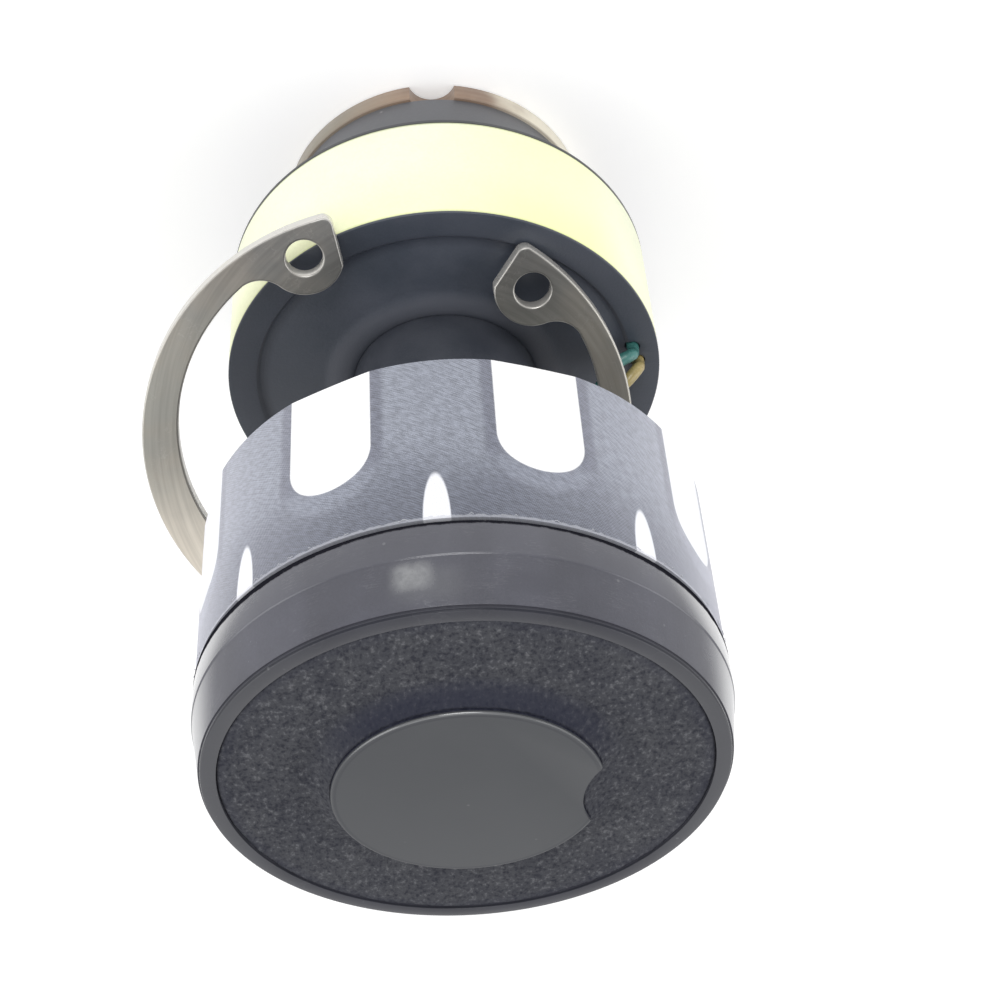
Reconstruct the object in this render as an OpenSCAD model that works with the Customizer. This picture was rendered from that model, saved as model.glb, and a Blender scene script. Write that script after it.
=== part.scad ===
// Moving-coil microphone capsule that stands on its contact face, with its front face up.
// The axis is +Z and the contact face lies at z = 0. All sizes are in millimetres.

/* [Contact board and collar] */
// How far the contact board's edge stands over the collar
board_proud = 0.15; // [0:0.05:0.5]
// Thickness of the contact board
board_t = 1.6; // [1:0.1:2.4]
// Diameter of the half-round key notch in the board's edge
notch_d = 3.6; // [2:0.1:4.4]
// Depth of the key notch, from the board's edge
notch_depth = 1.3; // [0.8:0.1:1.7]
// Angle of the key notch
notch_angle = -88; // [-180:1:180]
// Diameter of the outer contact face
outer_contact_d = 20; // [18:0.1:20.4]
// Diameter of the middle contact face
middle_contact_d = 11.2; // [9:0.1:13]
// Diameter of the centre contact face
centre_contact_d = 3.4; // [2:0.1:4]
// Width of the two ring-shaped contact faces
contact_w = 1.7; // [1:0.1:2.2]
// Thickness of the contact faces
contact_t = 0.12; // [0.08:0.01:0.4]
// Diameter of the collar
collar_d = 23; // [21:0.1:25]
// Length of the collar
collar_h = 8.3; // [5:0.1:12]
// Wall of the collar
collar_wall = 1.3; // [0.8:0.1:2]

/* [Rear cup] */
// Diameter over the coloured band
band_d = 31.2; // [29.6:0.1:32]
// Thickness of the coloured band
band_t = 0.7; // [0.4:0.1:1]
// Length of the rear cup
cup_h = 9.3; // [8.6:0.1:14]
// Wall of the rear cup
cup_wall = 1.4; // [1:0.1:1.8]
// Thickness of the rear cup's floor
cup_floor = 1.5; // [1:0.1:2.5]
// Width of the cup's rear bead, which stops the band
cup_bead = 0.25; // [0.2:0.05:0.8]
// Length of the boss that holds the collar
cup_boss_h = 1.4; // [0.8:0.1:2.4]
// Diameter of the wire hole in the cup's floor
cup_hole_d = 11.2; // [9:0.1:14]
// Width of the notch in the cup's wall, where the leads come in
cup_notch_w = 4.6; // [4:0.1:6]
// Length of that notch
cup_notch_h = 5.6; // [4:0.1:7]

/* [Rubber mount] */
// How far the rubber disc stands over the band
mount_proud = 0; // [0:0.05:0.8]
// Thickness of the disc over the cup's edge
mount_rim_t = 1; // [0.8:0.1:1.6]
// Thickness of the flange that shows beside the band
mount_flange_t = 0.15; // [0.15:0.05:0.7]
// Depth of the disc's spigot in the cup
mount_plug_h = 1.5; // [1:0.1:1.7]
// Width of the flat rim
mount_rim_w = 2; // [1.2:0.1:2.2]
// Width of the groove inside the flat rim
mount_groove_w = 0.7; // [0.6:0.1:1.6]
// Depth of that groove
mount_groove_t = 0.6; // [0.3:0.1:0.6]
// Radius of the middle of the raised bead
mount_bead_r = 8.2; // [8:0.1:9.5]
// Radius of the bead's round section
mount_bead_s = 0.75; // [0.5:0.05:0.95]
// Height of the lip that grips the neck
mount_lip_h = 0.7; // [0.3:0.1:1.5]
// Width of that lip
mount_lip_w = 0.5; // [0.3:0.05:0.8]

/* [Neck] */
// Outer diameter of the neck tube
neck_d = 13.2; // [12:0.1:13.4]
// Wall of the neck tube
neck_wall = 1.4; // [1:0.1:2]
// Free length of the neck between the rubber disc and the drum
neck_gap = 15.3; // [13.5:0.1:20]
// Length of the neck inside the rear cup
neck_tail = 6; // [4:0.1:6.3]

/* [Drum] */
// Diameter of the drum's moulded wall
drum_d = 32.4; // [32:0.1:32.8]
// Wall of the drum
drum_wall = 1.6; // [1.3:0.1:2]
// Length of the drum from its rear rim to the front ring
drum_h = 13.1; // [12.6:0.1:16]
// Number of windows round the drum
window_n = 8; // [6:1:8]
// Width of the round-ended windows
window_w = 5.5; // [4:0.1:5.8]
// Length of the round-ended windows from the rear rim
window_len = 8.9; // [8.6:0.1:9.4]
// Width of the shallow step round each window
recess_w = 6.8; // [6:0.1:7.4]
// Depth of that step
recess_t = 0.3; // [0.1:0.05:0.5]
// Distance from the window's round end to the step's round end
recess_end = 1.6; // [0.6:0.1:2]
// Width of the pointed windows at the front ring
lancet_w = 1.6; // [1:0.1:2.4]
// Length of the pointed windows behind the front ring
lancet_len = 3.7; // [2.5:0.1:4]
// Thickness of the web that carries the magnet system
web_t = 1.4; // [1:0.1:1.8]
// Width of the web on either side of its sound slots
slot_edge = 1.3; // [1.1:0.1:1.8]
// Thickness of the cloth sleeve
sleeve_t = 0.3; // [0.2:0.05:0.4]
// Angle of the first pointed window
drum_phase = -83.8; // [-90:0.1:-80]

/* [Drum's rear] */
// Distance from the drum's rear rim to the end plate
end_inset = 0.9; // [0.4:0.1:1.6]
// Thickness of the end plate
end_t = 1.5; // [1:0.1:2]
// Depth of the seat for the end plate in the drum's wall
end_seat = 0.4; // [0.2:0.1:0.6]
// Length of the spigot that holds the neck tube
spigot_h = 3; // [2:0.1:5]
// Wall of that spigot
spigot_wall = 1.2; // [0.8:0.1:2]

/* [Front ring] */
// How much narrower the front lip is than the ring's rear edge, on the diameter
ring_taper = 1.1; // [0.6:0.1:1.4]
// How far the ring's rear edge stands over the cloth
ring_proud = 0.1; // [0:0.05:0.5]
// Distance of the faint step behind the front lip
ring_step = 3.5; // [2:0.1:4.5]
// Height of that step
ring_step_t = 0.14; // [0.05:0.01:0.3]
// Wall of the ring behind its lip, at its rear edge
ring_wall = 1.15; // [1.05:0.05:1.35]
// How far the front lip reaches in over the front plate
lip_w = 0.5; // [0.4:0.05:1]
// Thickness of the front lip
lip_t = 2; // [1.5:0.1:3]
// Height of the drum's head inside the ring
head_h = 2.2; // [1.6:0.1:3]
// Chamfer of the ring's edges
ring_chamfer = 0.2; // [0.1:0.05:0.2]
// Width and depth of the fine groove round the lip
lip_groove = 0.16; // [0.08:0.02:0.2]

/* [Foam and cap] */
// Diameter of the centre cap
cap_d = 16.5; // [14:0.1:18]
// Height of the cap above the front lip
cap_proud = 1.2; // [0.6:0.1:2]
// Wall of the cap
cap_wall = 1.1; // [0.8:0.1:1.6]
// Bevel of the cap's upper edge
cap_bevel = 0.3; // [0.1:0.05:0.5]
// Radius of the round notch in the cap's edge
cap_notch_r = 5.4; // [3:0.1:6]
// Depth of that notch
cap_notch_depth = 1.3; // [0.6:0.1:1.8]
// Angle of that notch
cap_notch_angle = 177; // [170:1:184]
// Diameter of the peg that holds the cap in the front plate
cap_peg_d = 3.6; // [2:0.1:6]
// Bevel of the foam's outer edge
foam_bevel = 0.3; // [0.1:0.05:0.6]
// Depth of the foam's dip beside the cap
foam_dip = 0.7; // [0.3:0.1:1.2]
// Width of that dip
foam_dip_w = 2.2; // [1:0.1:4]

/* [Front plate and diaphragm] */
// Thickness of the perforated front plate
plate_t = 1; // [0.8:0.1:1.4]
// Number of holes in each row of the front plate
plate_holes = 16; // [12:1:18]
// Diameter of those holes
plate_hole_d = 2; // [1:0.1:2.2]
// Distance from the plate's edge to the outer row of holes
plate_row_inset = 3.45; // [3.05:0.05:3.65]
// Distance between the two rows
plate_row_gap = 2.4; // [2.2:0.1:2.6]
// Thickness of the spacer that clamps the diaphragm
spacer_t = 0.8; // [0.7:0.1:1.4]
// Width of the spacer
spacer_w = 2; // [1.4:0.1:2.4]
// Thickness of the diaphragm
film_t = 0.1; // [0.08:0.01:0.14]
// Height of the rolled surround
roll_h = 0.45; // [0.2:0.05:0.5]
// Height of the dome
dome_h = 0.7; // [0.4:0.05:0.75]
// Width of the film's flat foot on either side of the coil
film_foot = 0.6; // [0.4:0.1:0.8]

/* [Magnet system] */
// Diameter of the magnet
magnet_d = 12.4; // [10:0.1:12.8]
// Thickness of the magnet
magnet_t = 4.2; // [3:0.1:4.4]
// Diameter of the pole plate
pole_d = 12.8; // [11.5:0.1:13.1]
// Thickness of the pole plate
pole_t = 1.5; // [1:0.1:2]
// Inner diameter of the voice coil
coil_d = 13.5; // [13.3:0.1:13.8]
// Thickness of the coil
coil_t = 0.4; // [0.2:0.05:0.5]
// Length of the coil
coil_h = 3.4; // [2.5:0.1:4]
// Inner diameter of the pole cup
yoke_bore_d = 15; // [14.8:0.1:15.6]
// Outer diameter of the pole cup
yoke_d = 18.3; // [17.6:0.1:19]
// Thickness of the pole cup's floor
yoke_floor = 2; // [1.2:0.1:3]
// Width of the shoulder that seats the pole cup on the web
yoke_shoulder = 0.7; // [0.4:0.1:1]
// Thickness of that shoulder
yoke_shoulder_t = 1; // [0.6:0.1:1.6]
// Height of the pole cup's mouth above the web
yoke_rise = 2.9; // [2.4:0.1:3.2]
// Thickness of the felt behind the web
felt_t = 0.6; // [0.4:0.1:1]

/* [Leads] */
// Diameter of the leads
lead_d = 0.9; // [0.6:0.1:1]
// Width of the terminal strip
strip_w = 6; // [5.6:0.1:7]
// Thickness of the terminal strip
strip_t = 0.8; // [0.6:0.1:1.2]
// Length of the terminal strip towards the neck
strip_l = 3.2; // [3:0.1:3.6]
// Height of the solder joints
solder_h = 0.6; // [0.4:0.1:1]
// Diameter of the solder joints
solder_d = 1.7; // [1.4:0.1:2]

/* [Retaining ring] */
// Outer diameter of the retaining ring
clip_d = 34.4; // [33.6:0.1:35]
// Width of the retaining ring opposite its gap
clip_w = 3.3; // [2.8:0.1:3.6]
// Shift of the inner circle towards the lugs
clip_shift = 0.9; // [0.5:0.1:1.2]
// Thickness of the retaining ring
clip_t = 1.2; // [1:0.1:1.5]
// Diameter of the holes in the lugs
clip_hole_d = 2.5; // [2:0.1:3]
// Distance of these holes' centres from the ring's outer edge
clip_hole_inset = 2.24; // [2:0.01:2.5]
// Angle of these holes from the middle of the gap
clip_hole_angle = 31.4; // [30:0.1:34]
// Outer radius of the lugs round their holes
clip_lug_r = 2.66; // [2.3:0.01:2.9]
// Half angle of the gap between the lugs
clip_gap = 22.2; // [21:0.1:23]
// Direction of the gap
clip_gap_angle = -100.2; // [-104:0.1:-96]
// Radius of the fillet between lug and ring
clip_fillet = 2; // [1.2:0.1:2.6]
// Radius of the lugs' outer corners at the gap
clip_corner = 0.7; // [0.3:0.1:1]
// Tilt of the retaining ring round the X axis
clip_tilt = 19.2; // [17:0.1:20]
// Tilt of the retaining ring round the Y axis
clip_roll = -1.5; // [-3:0.1:0]
// Distance from the axis to the retaining ring's edge, on the side where it is nearest
clip_near = 13.1; // [12.9:0.1:13.5]

/* [Hidden] */
$fn = 96;

// Clearances
fit = 0.05;
slip = 0.1;
e = 0.01;

// Levels, from the contact face up
cup_z = board_t + collar_h;
cup_top = cup_z + cup_h;
mount_z = cup_top + mount_rim_t;
flange_z = mount_z - mount_flange_t;
drum_z = mount_z + neck_gap;
end_z = drum_z + end_inset;
end_top = end_z + end_t;
window_z = drum_z + window_len;
web_z = window_z + slip;
web_top = web_z + web_t;
ring_z = drum_z + drum_h;
head_top = ring_z + head_h;
spacer_z = head_top + film_t;
plate_z = spacer_z + spacer_t;
lip_z = plate_z + plate_t;
front_z = lip_z + lip_t;
cap_z = front_z + cap_proud;
yoke_top = web_top + yoke_rise;
yoke_z = yoke_top - pole_t - magnet_t - yoke_floor;

// Radii
collar_r = collar_d / 2;
board_r = collar_r + board_proud;
band_r = band_d / 2;
cup_r = band_r - band_t;
cup_bore_r = cup_r - cup_wall;
mount_r = band_r + mount_proud;
neck_r = neck_d / 2;
drum_r = drum_d / 2;
drum_bore_r = drum_r - drum_wall;
end_r = drum_bore_r + end_seat - fit;
sleeve_bore_r = drum_r + fit;
sleeve_r = sleeve_bore_r + sleeve_t;
ring_r = sleeve_r + ring_proud;
ring_bore_r = ring_r - ring_wall;
lip_r = ring_bore_r - lip_w;
head_r = ring_bore_r - slip;
plate_r = ring_bore_r - fit;
plate_row_r = plate_r - plate_row_inset;
cap_r = cap_d / 2;
coil_r = coil_d / 2;
yoke_r = yoke_d / 2;
clip_r = clip_d / 2;
clip_bore_r = clip_r - clip_w + clip_shift;
clip_hole_r = clip_r - clip_hole_inset;
clip_x = clip_r - clip_near;
clip_corner_angle = asin(clip_corner / (clip_r - clip_corner));
pitch = 360 / window_n;

// Places of the two leads, and their routes with points chosen by hand
solder_top = end_z - strip_t;
start_green = [-9.4, 0.6];
start_yellow = [-9.0, 3.0];
hole_green = [-13.4, -3.2];
hole_yellow = [-13.9, -1.9];
end_green = [-7.0, 3.0];
end_yellow = [-7.6, 0.6];
function at(p, z) = [p[0], p[1], z];
route_green = [
    at(start_green, solder_top - solder_h), at(start_green, solder_top - 2.2), [-9.8, -0.4, mount_z + 8.8],
    [-10, -1, mount_z + 6.4], [-10.1, -1.3, mount_z + 4.8], [-10.4, -1.8, mount_z + 3.6],
    [-11.4, -2.5, mount_z + 2.4], [-12.3, -3.3, mount_z + 1.6], [-13.1, -3.5, mount_z + 1.2],
    at(hole_green, mount_z + 0.4), at(hole_green, mount_z - 1.7), [-13.3, -3.1, mount_z - 2.9],
    [-12.4, -2.6, mount_z - 4], [-11, -2, mount_z - 5.4], [-8.6, -1.2, cup_z + 4.3],
    [-5.6, -0.2, cup_z + 2.9], [-4.2, 0.8, cup_z + 0.9], [-4.2, 1.6, cup_z - 1.1],
    [-5.4, 2.4, board_t + 4], [-6.8, 3, board_t + 2.4], at(end_green, board_t + solder_h)
];
route_yellow = [
    at(start_yellow, solder_top - solder_h), at(start_yellow, solder_top - 2.2), [-9.3, 2.2, mount_z + 9.2],
    [-9.6, 1.4, mount_z + 6.6], [-10, 0.6, mount_z + 4.8], [-10.9, -0.2, mount_z + 3.5],
    [-12, -1.1, mount_z + 2.6], [-13, -2, mount_z + 2.1], [-13.7, -2.3, mount_z + 1.3],
    at(hole_yellow, mount_z + 0.4), at(hole_yellow, mount_z - 1.7), [-13.7, -1.9, mount_z - 2.9],
    [-12.4, -1.4, mount_z - 3.9], [-11, -0.6, mount_z - 5], [-8.8, 0.2, cup_z + 4.7],
    [-6.2, 1, cup_z + 3.5], [-3.2, 1.4, cup_z + 2.5], [-2.8, 0.6, cup_z + 0.5], [-3.8, 0.4, board_t + 5],
    [-6.2, 0.6, board_t + 3], [-7.6, 0.6, board_t + 2], at(end_yellow, board_t + solder_h)
];

// Ring between two radii
module ring(r_out, r_in, z0, h) {
    translate([0, 0, z0])
        difference() {
            cylinder(r = r_out, h = h);
            translate([0, 0, -1]) cylinder(r = r_in, h = h + 2);
        }
}

// Revolved section, given as points of radius and height
module turned(points) {
    rotate_extrude() polygon(points);
}

// Copies round the drum, on the pointed windows or half a pitch beside them
module round_drum(shift) {
    for (k = [0 : window_n - 1])
        rotate([0, 0, drum_phase + (k + shift) * pitch]) children();
}

// Slot with a round end, open to the drum's rear, cut from one radius outwards
module wall_slot(w, z_end, r_from) {
    depth = drum_r + 1 - r_from;
    translate([r_from, -w / 2, drum_z - 1]) cube([depth, w, z_end - w / 2 - drum_z + 1]);
    translate([r_from, 0, z_end - w / 2]) rotate([0, 90, 0]) cylinder(d = w, h = depth);
}

// Bullet-shaped slot behind the front ring, half of a long ellipse, cut from one radius outwards
module pointed_slot(r_from) {
    rise = lancet_len + slip;
    steps = 14;
    translate([r_from, 0, ring_z + slip])
        rotate([0, 90, 0])
            linear_extrude(height = drum_r + 1 - r_from)
                polygon([for (i = [0 : steps])
                    [rise * sin(180 * i / steps), lancet_w / 2 * cos(180 * i / steps)]]);
}

// Point on a smooth curve through four points, between the second and the third
function curve_point(a, b, c, d, t) =
    0.5 * (2 * b + (c - a) * t + (2 * a - 5 * b + 4 * c - d) * t * t + (3 * b - a - 3 * c + d) * t * t * t);

// Route with one point added in the middle of each stretch
function smooth(p) = concat([for (i = [0 : len(p) - 2], k = [0, 1])
    curve_point(p[max(i - 1, 0)], p[i], p[i + 1], p[min(i + 2, len(p) - 1)], k / 2)], [p[len(p) - 1]]);

// Unit vector
function unit(v) = v / norm(v);

// Direction of the route at one point, upright at both ends
function heading(p, i) =
    i == 0 || i == len(p) - 1 ? [0, 0, -1] : unit(p[i + 1] - p[i - 1]);

// Tube swept along a route
module swept(p, d, sides = 8) {
    side_ref = [1, -1, 0];
    rings = [for (i = [0 : len(p) - 1])
        let (t = heading(p, i), u = unit(cross(side_ref, t)), v = cross(t, u))
            [for (k = [0 : sides - 1])
                p[i] + d / 2 * (cos(360 * k / sides) * u + sin(360 * k / sides) * v)]];
    points = [for (r = rings) for (q = r) q];
    last = (len(p) - 1) * sides;
    walls = [for (i = [0 : len(p) - 2]) for (k = [0 : sides - 1])
        let (n = (k + 1) % sides)
            [i * sides + k, (i + 1) * sides + k, (i + 1) * sides + n, i * sides + n]];
    start_face = [[for (k = [0 : sides - 1]) k]];
    end_face = [[for (k = [0 : sides - 1]) last + sides - 1 - k]];
    polyhedron(points = points, faces = concat(walls, start_face, end_face), convexity = 6);
}

// Front ring: flared side, plain lip, bore for the drum's head
module front_ring() {
    r_front = ring_r - ring_taper / 2;
    r_step = ring_r - ring_step_t;
    z_step = front_z - ring_step;
    z_groove = front_z - ring_chamfer;
    color([0.16, 0.16, 0.18])
        turned([
            [ring_bore_r, ring_z], [ring_r - ring_chamfer, ring_z], [ring_r, ring_z + ring_chamfer],
            [ring_r, z_step - ring_step_t], [r_step, z_step], [r_front, z_groove - lip_groove],
            [r_front - lip_groove, z_groove - lip_groove], [r_front - lip_groove, z_groove],
            [r_front - ring_chamfer, front_z], [lip_r, front_z], [lip_r, lip_z], [ring_bore_r, lip_z]
        ]);
}

// Foam disc round the cap, dipped beside it
module windscreen_foam() {
    r_in = cap_r + slip;
    r_out = lip_r - slip;
    top = front_z - slip;
    color([0.10, 0.10, 0.12])
        turned([
            [r_in, lip_z], [r_out, lip_z], [r_out, top - foam_bevel], [r_out - foam_bevel, top],
            [r_in + foam_dip_w, top], [r_in + 0.4 * foam_dip_w, top - 0.45 * foam_dip], [r_in, top - foam_dip]
        ]);
}

// Shallow cup of a cap that stands on the front plate, with a round notch in its edge
module centre_cap() {
    notch_x = cap_r - cap_notch_depth + cap_notch_r;
    ceiling_z = lip_z + cap_wall;
    color([0.26, 0.27, 0.29]) {
        difference() {
            turned([
                [0, ceiling_z], [cap_r - cap_wall, ceiling_z], [cap_r - cap_wall, lip_z], [cap_r, lip_z],
                [cap_r, cap_z - cap_bevel], [cap_r - cap_bevel, cap_z], [0, cap_z]
            ]);
            rotate([0, 0, cap_notch_angle])
                translate([notch_x, 0, ceiling_z]) cylinder(r = cap_notch_r, h = cap_z - lip_z);
        }
        translate([0, 0, plate_z]) cylinder(d = cap_peg_d, h = ceiling_z - plate_z + e);
    }
}

// Perforated plate under the foam, clamped by the lip
module front_plate() {
    step = 360 / plate_holes;
    color([0.35, 0.35, 0.37])
        difference() {
            translate([0, 0, plate_z]) cylinder(r = plate_r, h = plate_t);
            translate([0, 0, plate_z - 1]) cylinder(d = cap_peg_d + 2 * fit, h = plate_t + 2);
            for (row = [0, 1], k = [0 : plate_holes - 1])
                rotate([0, 0, (k + row / 2) * step])
                    translate([plate_row_r - row * plate_row_gap, 0, plate_z - 1])
                        cylinder(d = plate_hole_d, h = plate_t + 2);
        }
}

// Spacer ring over the diaphragm's rim
module diaphragm_ring() {
    color([0.75, 0.75, 0.72]) ring(plate_r, plate_r - spacer_w, spacer_z, spacer_t);
}

// Domed film with a rolled surround and a flat rim, glued to the coil at the foot of the dome
module diaphragm() {
    coil_middle_r = coil_r + coil_t / 2;
    dome_r = coil_middle_r - film_foot;
    roll_in = coil_middle_r + film_foot;
    roll_out = plate_r - spacer_w - 8 * fit;
    steps = 12;
    roll = [for (i = [0 : steps])
        [roll_out - (roll_out - roll_in) * i / steps, head_top + roll_h * sin(180 * i / steps)]];
    dome = [for (i = [0 : steps]) [dome_r * (1 - i / steps), head_top + dome_h * sin(90 * i / steps)]];
    under = concat([[plate_r, head_top]], roll, dome);
    lift = [0, film_t];
    color([0.85, 0.80, 0.62])
        turned(concat([for (q = under) q + lift], [for (i = [len(under) - 1 : -1 : 0]) under[i]]));
}

// Coil on the diaphragm, in the gap of the magnet system
module voice_coil() {
    color([0.72, 0.42, 0.22]) ring(coil_r + coil_t, coil_r, head_top - coil_h, coil_h);
}

// Inner pole plate
module top_plate() {
    color([0.62, 0.63, 0.65]) translate([0, 0, yoke_top - pole_t]) cylinder(d = pole_d, h = pole_t);
}

// Disc magnet
module magnet() {
    color([0.50, 0.51, 0.53])
        translate([0, 0, yoke_top - pole_t - magnet_t]) cylinder(d = magnet_d, h = magnet_t);
}

// Pole cup with the shoulder that seats it on the web
module yoke() {
    shoulder_r = yoke_r + yoke_shoulder;
    shoulder_top = web_top + yoke_shoulder_t;
    color([0.58, 0.59, 0.62])
        turned([
            [0, yoke_z], [yoke_r, yoke_z], [yoke_r, web_top], [shoulder_r, web_top],
            [shoulder_r, shoulder_top], [yoke_r, shoulder_top], [yoke_r, yoke_top],
            [yoke_bore_d / 2, yoke_top], [yoke_bore_d / 2, yoke_z + yoke_floor], [0, yoke_z + yoke_floor]
        ]);
}

// Moulded drum: windowed wall, web for the magnet system, head inside the front ring
module basket() {
    hub_r = yoke_r + fit;
    slot_r = (hub_r + drum_bore_r) / 2;
    slot_d = drum_bore_r - hub_r - 2 * slot_edge;
    seat_w = 0.6;
    head_bore_r = head_r - spacer_w - seat_w;
    slope_h = 1;
    color([0.20, 0.20, 0.23])
        difference() {
            union() {
                translate([0, 0, drum_z]) cylinder(r = drum_r, h = drum_h);
                translate([0, 0, drum_z]) cylinder(r = head_r, h = drum_h + head_h);
            }
            translate([0, 0, drum_z - 1]) cylinder(r = end_r + fit, h = end_top - drum_z + 1);
            translate([0, 0, drum_z]) cylinder(r = drum_bore_r, h = web_z - drum_z);
            translate([0, 0, web_top]) cylinder(r = drum_bore_r, h = ring_z - slope_h - web_top);
            translate([0, 0, ring_z - slope_h - e])
                cylinder(r1 = drum_bore_r, r2 = head_bore_r, h = slope_h + 2 * e);
            translate([0, 0, ring_z]) cylinder(r = head_bore_r, h = head_h + 1);
            translate([0, 0, web_z - 1]) cylinder(r = hub_r, h = web_t + 2);
            for (shift = [0, 0.5])
                round_drum(shift)
                    translate([slot_r, 0, web_z - 1]) cylinder(d = slot_d, h = web_t + 2);
            round_drum(0.5) wall_slot(window_w, window_z, drum_bore_r - 1);
            round_drum(0.5) wall_slot(recess_w, window_z + recess_end, drum_r - recess_t);
            round_drum(0) pointed_slot(drum_bore_r - 1);
        }
}

// Cloth sleeve stretched round the drum, which sinks a little over every window
module fabric_sleeve() {
    sunk_r = sleeve_r - sleeve_t / 2;
    color([0.55, 0.56, 0.63])
        difference() {
            ring(sleeve_r, sleeve_bore_r, drum_z, drum_h - fit);
            round_drum(0.5) wall_slot(window_w, window_z, sunk_r);
            round_drum(0) pointed_slot(sunk_r);
        }
}

// Felt ring over the slots behind the web
module damping_felt() {
    color([0.62, 0.60, 0.55])
        ring(drum_bore_r - fit, yoke_r + fit, web_z - felt_t, felt_t);
}

// End plate with the spigot that holds the neck
module end_plate() {
    spigot_r = neck_r - neck_wall - fit;
    color([0.17, 0.17, 0.19])
        difference() {
            union() {
                translate([0, 0, end_z]) cylinder(r = end_r, h = end_t);
                translate([0, 0, end_z - spigot_h]) cylinder(r = spigot_r, h = spigot_h + e);
            }
            translate([0, 0, end_z - spigot_h - 1])
                cylinder(r = spigot_r - spigot_wall, h = spigot_h + end_t + 2);
        }
}

// Terminal strip on the end plate's rear face, centred on the two solder joints
module terminal_strip() {
    middle = (start_green + start_yellow) / 2;
    color([0.45, 0.30, 0.16])
        translate([middle[0] - strip_l / 2, middle[1] - strip_w / 2, solder_top])
            cube([strip_l, strip_w, strip_t]);
}

// Solder joints at both ends of the leads
module solder_joints() {
    foot_r = solder_d / 2;
    tip_r = lead_d / 2 + slip;
    color([0.78, 0.78, 0.80]) {
        for (p = [start_green, start_yellow])
            translate(at(p, solder_top - solder_h)) cylinder(r1 = tip_r, r2 = foot_r, h = solder_h);
        for (p = [end_green, end_yellow])
            translate(at(p, board_t)) cylinder(r1 = foot_r, r2 = tip_r, h = solder_h);
    }
}

// Green lead from the drum through the rubber disc to the board
module lead_green() {
    color([0.05, 0.40, 0.36]) swept(smooth(route_green), lead_d);
}

// Yellow lead beside it
module lead_yellow() {
    color([0.75, 0.62, 0.22]) swept(smooth(route_yellow), lead_d);
}

// Neck tube from the end plate into the rear cup
module neck_tube() {
    z0 = mount_z - neck_tail;
    color([0.12, 0.12, 0.14]) ring(neck_r, neck_r - neck_wall, z0, end_z - z0);
}

// Rubber disc: flat rim, groove, bead and the lip that grips the neck
module shock_mount() {
    hole_r = neck_r + fit / 2;
    plug_r = cup_bore_r - fit;
    plug_z = cup_top - mount_plug_h;
    edge = 0.1;
    slope = 0.2;
    rim_in = mount_r - mount_rim_w;
    groove_in = rim_in - mount_groove_w;
    groove_z = mount_z - mount_groove_t;
    face_z = mount_z - edge;
    neck_lip_r = hole_r + mount_lip_w;
    color([0.07, 0.07, 0.09])
        difference() {
            union() {
                turned([
                    [hole_r, plug_z], [plug_r, plug_z], [plug_r, cup_top], [cup_r - fit, cup_top],
                    [cup_r - fit, flange_z], [mount_r, flange_z], [mount_r, face_z], [mount_r - edge, mount_z],
                    [rim_in, mount_z], [rim_in - slope, groove_z], [groove_in + slope, groove_z],
                    [groove_in, face_z], [neck_lip_r + slope, face_z], [neck_lip_r, mount_z + mount_lip_h],
                    [hole_r, mount_z + mount_lip_h]
                ]);
                translate([0, 0, mount_z - slope])
                    rotate_extrude() translate([mount_bead_r, 0]) circle(r = mount_bead_s, $fn = 24);
            }
            for (p = [hole_green, hole_yellow])
                translate(at(p, plug_z - 1))
                    cylinder(d = lead_d + 2 * slip, h = mount_z - plug_z + 2, $fn = 24);
        }
}

// Rear cup with its rear bead, a floor with a wire hole and a notch for the leads
module rear_cup() {
    leads = (hole_green + hole_yellow) / 2;
    color([0.13, 0.13, 0.15])
        difference() {
            union() {
                translate([0, 0, cup_z]) cylinder(r = cup_r, h = cup_h);
                translate([0, 0, cup_z]) cylinder(r = band_r, h = cup_bead);
                translate([0, 0, cup_z - cup_boss_h])
                    cylinder(r = collar_r - collar_wall - fit, h = cup_boss_h + e);
            }
            translate([0, 0, cup_z + cup_floor]) cylinder(r = cup_bore_r, h = cup_h);
            translate([0, 0, cup_z - cup_boss_h - 1])
                cylinder(d = cup_hole_d, h = cup_floor + cup_boss_h + 2);
            rotate([0, 0, atan2(leads[1], leads[0])])
                translate([cup_bore_r - 1, -cup_notch_w / 2, cup_top - cup_notch_h])
                    cube([cup_wall + 2, cup_notch_w, cup_notch_h + 1]);
        }
}

// Coloured band round the rear cup
module yellow_band() {
    color([0.90, 0.95, 0.45])
        ring(band_r, cup_r, cup_z + cup_bead, flange_z - cup_z - cup_bead);
}

// Collar between the cup and the contact board
module collar() {
    color([0.22, 0.23, 0.27]) ring(collar_r, collar_r - collar_wall, board_t, collar_h);
}

// Contact board with its key notch and the pockets of the contact faces
module contact_board() {
    color([0.42, 0.27, 0.18])
        difference() {
            cylinder(r = board_r, h = board_t);
            rotate([0, 0, notch_angle])
                translate([board_r - notch_depth + notch_d / 2, 0, -1])
                    cylinder(d = notch_d, h = board_t + 2);
            translate([0, 0, -1]) cylinder(d = centre_contact_d + 2 * fit, h = 1 + contact_t);
            for (d = [outer_contact_d, middle_contact_d])
                ring(d / 2 + fit, d / 2 - contact_w - fit, -1, 1 + contact_t);
        }
}

// Outer contact face
module contact_outer() {
    r = outer_contact_d / 2;
    color([0.85, 0.68, 0.30]) ring(r, r - contact_w, 0, contact_t);
}

// Middle contact face
module contact_middle() {
    r = middle_contact_d / 2;
    color([0.85, 0.68, 0.30]) ring(r, r - contact_w, 0, contact_t);
}

// Centre contact face
module contact_centre() {
    color([0.85, 0.68, 0.30]) cylinder(d = centre_contact_d, h = contact_t);
}

// Point at a radius and an angle from the middle of the retaining ring's gap
function polar(r, a) = [r * cos(a), r * sin(a)];

// Points on a short arc round a centre, from one direction to another
function arc(centre, r, from, to, steps = 12) =
    [for (i = [0 : steps]) centre + r * unit((steps - i) * from + i * to)];

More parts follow.
